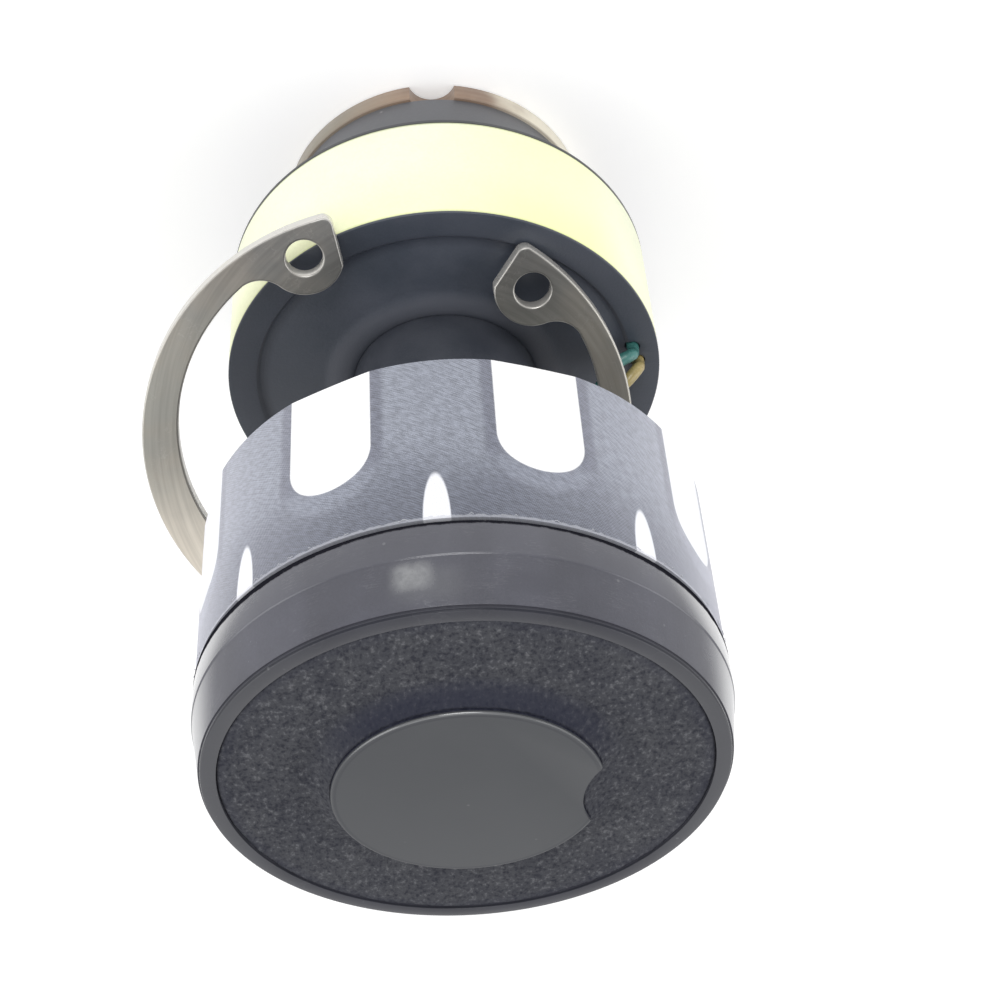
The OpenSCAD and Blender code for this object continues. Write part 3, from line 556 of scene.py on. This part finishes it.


# Retaining ring: oiled spring steel with bright stamped edges; painted light and shade make its lugs darker
# than its middle and its far end pale
def spring_steel():
    material, tree, shader = new_material("spring_steel")
    place = object_place(tree)
    film = mottle(tree, place, 150.0, 4.0, 0.55)
    far = calc(tree, "ADD", xyz_place(tree)["Y"], calc(tree, "MULTIPLY_ADD", film, 0.006, -0.003))
    # Painted light and shade: darker lugs, lighter arms and a pale far end along Y stand in for how the light
    # falls
    lugs, arms, rear = shade(0.160, 0.158, 0.152), shade(0.275, 0.27, 0.245), shade(0.72, 0.66, 0.57)
    tone = blend_colour(tree, fade(tree, far, -15 * MM, -6 * MM), lugs, arms)
    tone = blend_colour(tree, fade(tree, far, -1 * MM, 9 * MM), tone, rear)
    warm = blend_colour(tree, 0.22, tone, shade(0.34, 0.28, 0.22))
    tone = blend_colour(tree, fade(tree, film, 0.42, 0.64), tone, warm)
    # Drawn streaks that follow the ring round
    where = use(tree, round_place)
    turn = put(tree, "CombineXYZ", {"X": times(tree, where["Radius"], 1.6), "Y": where["Angle"]})[0]
    tone = shaded(tree, tone, fade(tree, mottle(tree, turn, 1.3, 3.0, 0.6), 0.3, 0.7, 0.88, 1.12))
    bare = fade(tree, put(tree, "Attribute", {}, attribute_name="cut_edge")["Fac"], 0.08, 0.55)
    tone = tint(tree, tone, shade(0.72, 0.70, 0.66), bare, 0.9)
    marks = use(tree, scratches, {"Stretch": (1500.0, 1500.0, 1500.0), "Width": 0.02})["Mask"]
    tone = tint(tree, tone, shade(0.6, 0.58, 0.54), marks, 0.12)
    rough = calc(tree, "MULTIPLY_ADD", bare, -0.08, calc(tree, "MULTIPLY_ADD", film, 0.2, 0.26))
    set_shader(tree, shader, Base_Color=tone, Roughness=rough, Metallic=0.6)
    bump(tree, shader, mottle(tree, place, 1800.0, 3.0, 0.6), 0.01 * MM, 0.5)
    return material


# Contact board: brown laminate, greyer on one side of its notch, with a painted highlight turning it cream on
# the other
def board_material():
    material, tree, shader = new_material("board_laminate")
    place, parts = object_place(tree), xyz_place(tree)
    layers = put(tree, "TexWave", {"Vector": place, "Scale": 520.0, "Distortion": 1.5, "Detail": 2.0},
                 bands_direction="Z")["Fac"]
    cloud = fade(tree, mottle(tree, place, 240.0, 4.0), 0.4, 0.62)
    tone = blend_colour(tree, cloud, shade(0.26, 0.175, 0.125), shade(0.35, 0.24, 0.17))
    tone = tint(tree, tone, shade(0.46, 0.36, 0.28), layers, 0.14)
    greyer = fade(tree, parts["X"], 1 * MM, 9 * MM, 0.0, 0.8)
    tone = blend_colour(tree, greyer, tone, shade(0.28, 0.265, 0.215))
    # Painted highlight: cream streaks growing towards one side
    cream_highlight = calc(tree, "MULTIPLY_ADD", mottle(tree, place, 240.0, 3.0), 8.0,
                   times(tree, parts["X"], -1 / MM))
    tone = blend_colour(tree, fade(tree, cream_highlight, 6.0, 11.0), tone, shade(0.78, 0.73, 0.60))
    edge = fade(tree, parts["Z"], 1.3 * MM, 1.5 * MM)
    tone = tint(tree, tone, shade(0.16, 0.11, 0.08), edge, 0.4)
    set_shader(tree, shader, Base_Color=tone, Roughness=0.32)
    bump(tree, shader, layers, 0.008 * MM, 0.5)
    return material


# Pieces
def make_front_ring():
    """Flared side with one faint step, a thin groove before the lip and the lip's flat face"""
    rear_r = reach("front_ring")
    front_r = rear_r - 0.55 * MM
    bore_r = rear_r - 1.15 * MM
    lip_r = bore_r - 0.5 * MM
    step_z = front_face - 3.5 * MM
    step = 0.08 * MM
    groove_z = front_face - 0.2 * MM
    groove = 0.10 * MM
    outline = [
        (bore_r, ring_foot), (rear_r - 0.2 * MM, ring_foot), (rear_r, ring_foot + 0.2 * MM),
        (rear_r, step_z - step), (rear_r - step, step_z), (front_r, groove_z - groove),
        (front_r - groove, groove_z - groove), (front_r - groove, groove_z),
        (front_r - 0.18 * MM, front_face), (lip_r, front_face), (lip_r, front_face - 2 * MM),
        (bore_r, front_face - 2 * MM),
    ]
    piece = turned("ring_moulding", outline, steps=360)
    break_edges(piece, 0.045 * MM)
    smooth(piece)
    settle(piece, ring_plastic(), "ring_black", "front_ring")


def cap_outline(angle):
    """The cap's radius at an angle: round, with one round notch"""
    radius = reach("centre_cap")
    across = notch_away * math.sin(angle - notch_angle)
    ahead = notch_away * math.cos(angle - notch_angle)
    if ahead < 0 or abs(across) >= notch_r:
        return radius
    return min(radius, ahead - math.sqrt(notch_r ** 2 - across ** 2))


def make_foam():
    """Foam disc, squeezed up round the cap and into its notch, its cells pushed up and down"""
    gap, fuzz = 0.02 * MM, 0.05 * MM
    inner, outer = reach("centre_cap") + gap, reach("front_ring") - 1.66 * MM
    low, top = foot("windscreen_foam"), head("windscreen_foam")
    swell_w, edge = 1.5 * MM, 0.16 * MM
    swell = head("centre_cap") - 0.36 * MM - top
    rings, cells_in_metre, waves_in_metre = 64, 3400.0, 420.0
    outline = [(inner, low), (outer, low), (outer, top - edge)]
    for k in range(rings + 1):
        radius = outer - (outer - inner) * k / rings
        lift = swell * max(0.0, 1 - (radius - inner) / swell_w) ** 1.7
        round_off = edge * max(0.0, 1 - (outer - radius) / edge) ** 2
        outline.append((radius, top + lift - round_off))
    piece = turned("foam_disc", outline, steps=480)
    for v in piece.data.vertices:
        radius = v.co.xy.length
        if radius < inner + swell_w:
            hug = cap_outline(math.atan2(v.co.y, v.co.x)) + gap
            share = (hug + (radius - inner) * (inner + swell_w - hug) / swell_w) / radius
            v.co.x *= share
            v.co.y *= share
        if v.co.z > low + 0.9 * MM and radius > inner + 0.05 * MM:
            cell = noise.noise(v.co * cells_in_metre)
            wave = noise.noise(v.co * waves_in_metre)
            v.co.z += fuzz * cell - 0.03 * MM + fuzz * wave
    smooth(piece, 180)
    settle(piece, foam_material(), "foam_black", "windscreen_foam")


def cap_material():
    """Matt grey face with a polished rim; the side is as rough as the foam beside it and carries a painted
    reflection of the dark foam in painted shade, with its grain
    """
    material, tree, shader = new_material("cap_plastic")
    look = clouded(tree, (0.044, 0.047, 0.053), (0.051, 0.054, 0.060), 0.40, 0.46, 120.0, 9000.0)
    where = use(tree, round_place)
    height = where["Height"]
    top, radius = head("centre_cap") / MM, reach("centre_cap") / MM
    side = fade(tree, height, top - 0.17, top - 0.26)
    # Painted reflection and painted shade on the cap's side, in the foam's grain
    side_painted_reflection = fade(tree, mottle(tree, object_place(tree), 3600.0, 3.0, 0.62), 0.34, 0.66)
    side_painted_reflection = blend_colour(tree, side_painted_reflection, shade(0.014, 0.015, 0.026), shade(0.030, 0.032, 0.048))
    colour = blend_colour(tree, side, look["Colour"], side_painted_reflection)
    dust = use(tree, specks, {"Size": 2100.0, "Share": 0.006})["Mask"]
    colour = tint(tree, colour, shade(0.3, 0.3, 0.31), dust, 0.25)
    off_line = calc(tree, "ABSOLUTE", calc(tree, "SUBTRACT", where["Radius"], radius - 0.27))
    line = fade(tree, off_line, 0.12, 0.03, 0.0, 0.5)
    colour = blend_colour(tree, line, colour, shade(0.020, 0.021, 0.030))
    # The rim between face and side is worn smooth, most of all at one place
    off_worn = calc(tree, "ABSOLUTE", calc(tree, "SUBTRACT", where["Angle"], math.radians(-80)))
    below_face = fade(tree, height, top - 0.005, top - 0.03)
    rim = times(tree, fade(tree, height, top - 0.22, top - 0.15), below_face)
    rim = times(tree, rim, fade(tree, off_worn, 0.25, 0.95, 0.75, 0.12))
    rough = calc(tree, "ADD", look["Roughness"], times(tree, side, 0.4))
    gloss = calc(tree, "MULTIPLY_ADD", side, -0.45, 0.5)
    set_shader(tree, shader, Base_Color=colour, Roughness=rough, Specular_IOR_Level=gloss, Coat_Weight=rim,
               Coat_Roughness=0.1, Coat_IOR=2.0)
    bump(tree, shader, look["Height"], 0.004 * MM)
    return material


def make_cap():
    """Cap with a rounded edge and one round notch"""
    radius = reach("centre_cap")
    low, top = foot("centre_cap") + 1 * MM, head("centre_cap")
    round_off, steps = 0.17 * MM, 6
    outline = [(radius, low)]
    for k in range(steps + 1):
        turn = math.pi / 2 * k / steps
        outline.append((radius - round_off * (1 - math.cos(turn)), top - round_off * (1 - math.sin(turn))))
    piece = turned("cap_disc", outline, steps=216, solid=True)
    x, y = notch_away * math.cos(notch_angle), notch_away * math.sin(notch_angle)
    drill(piece, x, y, low + 1.1 * MM, top + 1 * MM, notch_r, steps=160)
    break_edges(piece, 0.05 * MM, angle=50)
    smooth(piece)
    settle(piece, cap_material(), "cap_grey", "centre_cap")


def make_sleeve():
    """Cloth stretched round the drum: round on the pillars and flatter over each window"""
    outer, low, top = reach("fabric_sleeve"), drum_foot, head("fabric_sleeve")
    count, phase = 8, math.radians(-83.8)
    window_w, window_end = 5.5 * MM, low + 8.9 * MM
    recess_w, recess_end = 6.8 * MM, low + 10.5 * MM
    lancet_w, lancet_tip = 1.6 * MM, top - 3.65 * MM
    rows = 60
    rim = top - 0.12 * MM
    outline = [(outer, low + (rim - low) * k / rows) for k in range(rows + 1)]
    piece = turned("cloth_sleeve", outline, steps=480, closed=False)
    pitch = 2 * math.pi / count
    half = math.asin(window_w / 2 / outer)
    slack = 0.75
    for v in piece.data.vertices:
        angle = math.atan2(v.co.y, v.co.x)
        turns = (angle - phase - pitch / 2) / pitch
        off = abs(turns - round(turns)) * pitch
        if off < half:
            flat = outer * math.cos(half) / math.cos(off)
            hold = min(1.0, max(0.0, (window_end - v.co.z) / (2.0 * MM)))
            hold = slack * hold * hold * (3 - 2 * hold)
            share = 1 + hold * (flat / outer - 1)
            v.co.x *= share
            v.co.y *= share
    # An open round has no inside, so its faces are turned outwards here
    open_mesh(piece)
    bpy.ops.mesh.normals_make_consistent(inside=False)
    bpy.ops.object.mode_set(mode="OBJECT")
    if piece.data.polygons[0].normal.dot(piece.data.polygons[0].center * Vector((1, 1, 0))) < 0:
        open_mesh(piece)
        bpy.ops.mesh.flip_normals()
        bpy.ops.object.mode_set(mode="OBJECT")
    finish_with(piece, "SOLIDIFY", thickness=0.28 * MM, offset=-1.0)
    smooth(piece, 50)
    sizes = [size / MM for size in (window_w, window_end, recess_w, recess_end, lancet_w, lancet_tip, top)]
    masks = window_masks_group(*sizes, count, phase, outer / MM)
    settle(piece, cloth_material(masks, weave_group(outer / MM)), "sleeve_cloth", "fabric_sleeve")


def rubber_material():
    """Blue-black rubber, with painted shade in the groove and a painted highlight on the raised bead"""
    material, tree, shader = new_material("black_rubber")
    look = clouded(tree, (0.044, 0.052, 0.069), (0.054, 0.061, 0.080), 0.42, 0.55, 170.0, 5200.0)
    radius = use(tree, round_place)["Radius"]
    wander = mottle(tree, object_place(tree), 160.0, 3.0)
    bead_r, groove_r = 8.0, 13.2
    # Painted highlight on the raised bead
    off_bead = calc(tree, "ADD", radius, calc(tree, "MULTIPLY_ADD", wander, 0.8, -bead_r))
    bead_highlight = fade(tree, calc(tree, "ABSOLUTE", off_bead), 1.3, 0.4)
    colour = tint(tree, look["Colour"], shade(0.092, 0.098, 0.118), bead_highlight, 0.75)
    # Painted shade in the groove
    off_groove = calc(tree, "ABSOLUTE", calc(tree, "ADD", radius, -groove_r))
    colour = tint(tree, colour, shade(0.024, 0.028, 0.042), fade(tree, off_groove, 0.7, 0.2), 0.45)
    set_shader(tree, shader, Base_Color=colour, Roughness=look["Roughness"])
    bump(tree, shader, look["Height"], 0.012 * MM)
    return material


def make_rubber_disc():
    """Flat rim, groove, plate, raised bead and the lip round the neck, with the two holes of the leads"""
    rim_r, neck_r = reach("shock_mount"), reach("neck_tube") + 0.02 * MM
    plug_r, cup_r = 13.45 * MM, 14.85 * MM
    low, seat = foot("shock_mount"), 19.2 * MM
    groove, plate = disc_face - 0.26 * MM, disc_face - 0.1 * MM
    outline = [
        (neck_r, low), (plug_r, low), (plug_r, seat), (cup_r, seat), (cup_r, band_head),
        (rim_r, band_head), (rim_r, disc_face - 0.05 * MM), (rim_r - 0.06 * MM, disc_face),
        (rim_r - 2.0 * MM, disc_face), (rim_r - 2.25 * MM, groove), (rim_r - 2.6 * MM, groove),
        (rim_r - 2.95 * MM, plate), (9.0 * MM, plate),
        (8.5 * MM, disc_face + 0.10 * MM), (7.9 * MM, disc_face + 0.26 * MM),
        (7.3 * MM, disc_face + 0.30 * MM), (6.8 * MM, disc_face + 0.2 * MM),
        (neck_r, disc_face + 0.12 * MM),
    ]
    piece = turned("rubber_disc", outline, steps=216)
    for x, y in lead_holes:
        drill(piece, x * MM, y * MM, low - 1 * MM, disc_face + 1 * MM, lead_hole_d / 2, steps=24)
    break_edges(piece, 0.09 * MM, segments=3)
    smooth(piece, 40)
    settle(piece, rubber_material(), "mount_rubber", "shock_mount")


def band_material():
    """Fluorescent pale yellow-green, olive at its rear edge, with painted shade deepening the yellow towards
    its front edge and across one side
    """
    material, tree, shader = new_material("fluorescent_band")
    look = clouded(tree, (0.935, 0.960, 0.700), (0.955, 0.975, 0.750), 0.34, 0.42, 150.0, 5000.0)
    height = use(tree, round_place)["Height"]
    across = xyz_place(tree)["X"]
    low, top = band_foot / MM, band_head / MM
    edge = fade(tree, height, low + 0.30, low + 0.10)
    edge_share = fade(tree, across, -14 * MM, -11 * MM, 0.1, 0.7)
    colour = tint(tree, look["Colour"], shade(0.30, 0.34, 0.16), edge, edge_share)
    # Painted shade: the yellow deepens towards the front edge and across one side
    deep = fade(tree, height, low + 4.0, top, 0.0, 0.34)
    shaded_deeper = calc(tree, "ADD", deep, fade(tree, across, 1 * MM, -8 * MM, 0.0, 0.4))
    shaded_deeper_share = fade(tree, across, -13.5 * MM, -9.5 * MM, 0.12, 1.0)
    colour = tint(tree, colour, shade(0.94, 0.97, 0.44), shaded_deeper, shaded_deeper_share)
    colour = tint(tree, colour, shade(0.62, 0.68, 0.26), fade(tree, height, top - 0.30, top - 0.05), 0.5)
    set_shader(tree, shader, Base_Color=colour, Roughness=look["Roughness"])
    bump(tree, shader, look["Height"], 0.006 * MM)
    return material


def straight_tube(name, node, wall, steps, rounding, segments=2):
    """A plain round tube between a node's two ends, its edges rounded"""
    inner, outer = reach(node) - wall, reach(node)
    low, top = foot(node), head(node)
    piece = turned(name, [(inner, low), (outer, low), (outer, top), (inner, top)], steps=steps)
    break_edges(piece, rounding, segments)
    smooth(piece)
    return piece


def make_band():
    piece = straight_tube("band_sleeve", "yellow_band", 0.7 * MM, 216, 0.12 * MM, segments=3)
    settle(piece, band_material(), "band_yellow", "yellow_band")


def make_collar():
    piece = straight_tube("collar_tube", "collar", 1.3 * MM, 192, 0.1 * MM)
    material = moulded("collar_plastic", (0.108, 0.110, 0.120), (0.134, 0.137, 0.148), 0.36, 0.48,
                       cloud=140.0, grain=4800.0, dust=0.02)
    settle(piece, material, "collar_slate", "collar")


def make_neck():
    piece = straight_tube("neck_barrel", "neck_tube", 1.4 * MM, 144, 0.1 * MM)
    material = moulded("neck_plastic", (0.044, 0.049, 0.062), (0.056, 0.061, 0.075), 0.30, 0.42)
    settle(piece, material, "neck_black", "neck_tube")


def make_board():
    """Contact board with its half-round notch"""
    radius = reach("contact_board")
    key_r, key_deep, key_angle = 1.8 * MM, 1.3 * MM, math.radians(-88)
    key_away = radius - key_deep + key_r
    x, y = key_away * math.cos(key_angle), key_away * math.sin(key_angle)
    piece = turned("board_disc", [(radius, board_face), (radius, 0.0)], steps=192, solid=True)
    drill(piece, x, y, -1 * MM, board_face + 1 * MM, key_r, steps=64)
    break_edges(piece, 0.08 * MM)
    smooth(piece)
    settle(piece, board_material(), "board_brown", "contact_board")


def make_retaining_ring():
    """The ring's own outline, merged and cleaned, with its stamped edges rounded"""
    put_down()
    piece = nodes["retaining_ring"].copy()
    piece.data = nodes["retaining_ring"].data.copy()
    for key in list(piece.keys()):
        del piece[key]
    piece.parent = None
    piece.name = piece.data.name = "ring_spring"
    put_in(piece)
    open_mesh(piece)
    bpy.ops.mesh.remove_doubles(threshold=weld)
    bpy.ops.mesh.dissolve_limited(angle_limit=math.radians(0.5))
    bpy.ops.object.mode_set(mode="OBJECT")
    break_edges(piece, 0.16 * MM, segments=3, angle=50)
    # How far each face turns away from the flat sides, for the bright stamped edges
    face = max(piece.data.polygons, key=lambda polygon: polygon.area).normal.copy()
    cut = piece.data.attributes.new("cut_edge", "FLOAT", "FACE")
    for polygon in piece.data.polygons:
        cut.data[polygon.index].value = 1 - abs(polygon.normal.dot(face))
    smooth(piece, 35)
    finish_with(piece, "WEIGHTED_NORMAL", weight=100, keep_sharp=True)
    settle(piece, spring_steel(), "clip_steel", "retaining_ring")


def curved(points, steps=8):
    """Points on a smooth curve through the given ones"""
    found = []
    for k in range(len(points) - 1):
        a, b = points[max(k - 1, 0)], points[k]
        c, d = points[k + 1], points[min(k + 2, len(points) - 1)]
        for s in range(steps):
            t = s / steps
            found.append(0.5 * (2 * b + (c - a) * t + (2 * a - 5 * b + 4 * c - d) * t ** 2
                                + (3 * b - a - 3 * c + d) * t ** 3))
    return found + [points[-1]]


def tube(name, path, thickness, resolution=4):
    """A round wire along a path, made a closed mesh"""
    put_down()
    curve = bpy.data.curves.new(name, "CURVE")
    curve.dimensions = "3D"
    curve.bevel_depth = thickness / 2
    curve.bevel_resolution = resolution
    curve.use_fill_caps = True
    spline = curve.splines.new("POLY")
    spline.points.add(len(path) - 1)
    for point, place in zip(spline.points, path):
        point.co = (*place, 1)
    wire = bpy.data.objects.new(name, curve)
    put_in(wire)
    take(wire)
    bpy.ops.object.convert(target="MESH")
    piece = bpy.context.object
    piece.name = piece.data.name = name
    smooth(piece, 60)
    return piece


def make_leads():
    """The two leads, along the same points as their solids, in millimetres"""
    disc, strip = disc_face / MM, foot("terminal_strip") / MM
    cup, board = band_foot / MM - 0.25, board_face / MM
    green = [
        (-9.4, 0.6, strip - 0.6), (-9.4, 0.6, strip - 2.2), (-9.8, -0.4, disc + 8.8),
        (-10, -1, disc + 6.4), (-10.1, -1.3, disc + 4.8), (-10.4, -1.8, disc + 3.6),
        (-11.4, -2.5, disc + 2.4), (-12.3, -3.3, disc + 1.6), (-13.1, -3.5, disc + 1.2),
        (-13.4, -3.2, disc + 0.4), (-13.4, -3.2, disc - 1.7), (-13.3, -3.1, disc - 2.9),
        (-12.4, -2.6, disc - 4), (-11, -2, disc - 5.4), (-8.6, -1.2, cup + 4.3), (-5.6, -0.2, cup + 2.9),
        (-4.2, 0.8, cup + 0.9), (-4.2, 1.6, cup - 1.1), (-5.4, 2.4, board + 4), (-6.8, 3, board + 2.4),
        (-7, 3, board + 0.6),
    ]
    yellow = [
        (-9, 3, strip - 0.6), (-9, 3, strip - 2.2), (-9.3, 2.2, disc + 9.2), (-9.6, 1.4, disc + 6.6),
        (-10, 0.6, disc + 4.8), (-10.9, -0.2, disc + 3.5), (-12, -1.1, disc + 2.6),
        (-13, -2, disc + 2.1), (-13.7, -2.3, disc + 1.3), (-13.9, -1.9, disc + 0.4),
        (-13.9, -1.9, disc - 1.7), (-13.7, -1.9, disc - 2.9), (-12.4, -1.4, disc - 3.9),
        (-11, -0.6, disc - 5), (-8.8, 0.2, cup + 4.7), (-6.2, 1, cup + 3.5),
        (-3.2, 1.4, cup + 2.5), (-2.8, 0.6, cup + 0.5), (-3.8, 0.4, board + 5), (-6.2, 0.6, board + 3),
        (-7.6, 0.6, board + 2), (-7.6, 0.6, board + 0.6),
    ]
    for name, route, slot, tone in (
        ("green_wire", green, "lead_green", (0.045, 0.16, 0.145)),
        ("yellow_wire", yellow, "lead_yellow", (0.34, 0.27, 0.11)),
    ):
        piece = tube(name, curved([Vector(p) * MM for p in route]), lead_d)
        lighter = [1.4 * c for c in tone]
        material = moulded(slot + "_sheath", tone, lighter, 0.25, 0.35, cloud=500.0, grain=5000.0,
                           depth=0.006 * MM)
        settle(piece, material, slot, slot)


def make_threads():
    """Short ends of the cloth's weft, frayed at the front ring"""
    random.seed(7)
    count, thread_d = 90, 0.035 * MM
    radius = reach("fabric_sleeve") + 0.02 * MM
    made = []
    for k in range(count):
        angle = random.uniform(0, 2 * math.pi)
        length = random.uniform(0.2, 0.7) * MM
        lean = random.uniform(-1, 1)
        start = ring_foot - random.uniform(0.26, 0.40) * MM
        path = []
        for s in range(7):
            t = s / 6
            turn = angle + lean * t * length / radius
            lift = 0.06 * MM * math.sin(math.pi * t) + 0.03 * MM
            drop = 0.12 * MM * math.sin(2.2 * math.pi * t + k)
            away = radius + lift
            path.append(Vector((away * math.cos(turn), away * math.sin(turn), start + drop * 0.4)))
        made.append(tube("thread_%02d" % k, curved(path, 2), thread_d, resolution=1))
    put_down()
    for piece in made:
        piece.select_set(True)
    bpy.context.view_layer.objects.active = made[0]
    bpy.ops.object.join()
    piece = bpy.context.object
    piece.name = piece.data.name = "frayed_threads"
    material = moulded("thread_white", (0.40, 0.41, 0.45), (0.55, 0.56, 0.60), 0.6, 0.7, cloud=900.0)
    settle(piece, material, "sleeve_cloth")


# CAD nodes that stay get their finishes here
def dress_nodes():
    steel = moulded("pole_steel", (0.42, 0.42, 0.44), (0.5, 0.5, 0.52), 0.28, 0.4, metallic=1.0)
    gold = moulded("contact_gold", (0.72, 0.53, 0.20), (0.80, 0.62, 0.28), 0.22, 0.34, cloud=420.0,
                   grain=3000.0, depth=0.006 * MM, metallic=1.0)
    drum = moulded("drum_plastic", (0.075, 0.076, 0.088), (0.09, 0.091, 0.104), 0.4, 0.5, dust=0.01)
    cup = moulded("cup_plastic", (0.050, 0.052, 0.058), (0.064, 0.066, 0.072), 0.38, 0.5, dust=0.012)
    plate = moulded("plate_paint", (0.1, 0.1, 0.11), (0.13, 0.13, 0.14), 0.45, 0.6)
    spacer = moulded("spacer_plastic", (0.55, 0.55, 0.53), (0.62, 0.62, 0.6), 0.4, 0.5)
    film = moulded("film", (0.62, 0.56, 0.42), (0.7, 0.65, 0.5), 0.12, 0.2, spec=0.6)
    wire = moulded("enamelled_wire", (0.55, 0.24, 0.12), (0.66, 0.32, 0.17), 0.25, 0.38, metallic=0.8)
    nickel = moulded("magnet_nickel", (0.5, 0.49, 0.47), (0.58, 0.57, 0.55), 0.2, 0.3, metallic=1.0)
    felt = moulded("felt", (0.33, 0.31, 0.28), (0.42, 0.4, 0.36), 0.85, 0.95, grain=3000.0, depth=0.05 * MM)
    strip = moulded("strip_laminate", (0.20, 0.11, 0.06), (0.27, 0.16, 0.09), 0.4, 0.5, cloud=700.0)
    solder = moulded("solder", (0.6, 0.6, 0.61), (0.7, 0.7, 0.71), 0.16, 0.3, cloud=1400.0, metallic=1.0)
    finishes = {
        "front_plate": plate, "diaphragm_ring": spacer, "diaphragm": film, "voice_coil": wire,
        "top_plate": steel, "magnet": nickel, "yoke": steel, "basket": drum, "damping_felt": felt,
        "end_plate": cup, "terminal_strip": strip, "solder_joints": solder, "rear_cup": cup,
        "contact_outer": gold, "contact_middle": gold, "contact_centre": gold,
    }
    for name, material in finishes.items():
        node = nodes[name]
        node.data.materials.clear()
        node.data.materials.append(material)


# Plain pale floor, soft light and white surroundings
def seen_share(tree):
    """1 where the camera, a mirror or clear glass sees the surface"""
    path = put(tree, "LightPath", {})
    seen = calc(tree, "MAXIMUM", path["Is Camera Ray"], path["Is Glossy Ray"])
    return calc(tree, "MAXIMUM", seen, path["Is Transmission Ray"])


def make_stage():
    put_down()
    bpy.ops.mesh.primitive_plane_add(size=6, location=(0, 0, -0.0001))
    floor = bpy.context.object
    floor.name = "floor"
    material = bpy.data.materials.new("floor_white")
    material.use_nodes = True
    tree = material.node_tree
    tree.nodes.remove(tree.nodes["Principled BSDF"])
    matt = put(tree, "BsdfDiffuse", {"Color": shade(0.86, 0.86, 0.86)})[0]
    away = put(tree, "VectorMath", {0: object_place(tree)}, operation="LENGTH")["Value"]
    strength = times(tree, seen_share(tree), fade(tree, away, 0.2, 1.2, 0.30, 0.62))
    glow = put(tree, "Emission", {"Color": shade(1, 1, 1), "Strength": strength})[0]
    both = put(tree, "AddShader", {0: matt, 1: glow})[0]
    plug(tree, tree.nodes["Material Output"], {"Surface": both})
    floor.data.materials.append(material)

    world = bpy.data.worlds.new("white_room")
    bpy.context.scene.world = world
    world.use_nodes = True
    tree = world.node_tree
    strength = calc(tree, "MULTIPLY_ADD", seen_share(tree), 0.52, 0.48)
    plug(tree, tree.nodes["Background"], {"Color": shade(1, 1, 1), "Strength": strength})

    capsule_middle = Vector((0, 0, 0.03))

    def soft_lamp(name, place, size, power):
        data = bpy.data.lights.new(name, "AREA")
        data.shape = "DISK"
        data.size = size
        data.energy = power
        lamp = bpy.data.objects.new(name, data)
        put_in(lamp)
        lamp.location = place
        lamp.rotation_euler = (capsule_middle - Vector(place)).to_track_quat("-Z", "Y").to_euler()

    soft_lamp("key", (0.06, -0.62, 0.30), 0.36, 1.7)
    soft_lamp("left", (0.5, -0.05, 0.30), 0.5, 1.3)
    soft_lamp("right", (-0.5, -0.05, 0.30), 0.5, 1.3)
    soft_lamp("top", (0.1, -0.2, 0.65), 0.6, 0.5)


add_camera()
make_front_ring()
make_foam()
make_cap()
make_sleeve()
make_rubber_disc()
make_band()
make_collar()
make_board()
make_neck()
make_retaining_ring()
make_leads()
make_threads()
dress_nodes()
make_stage()

bpy.context.scene.view_settings.view_transform = "Standard"
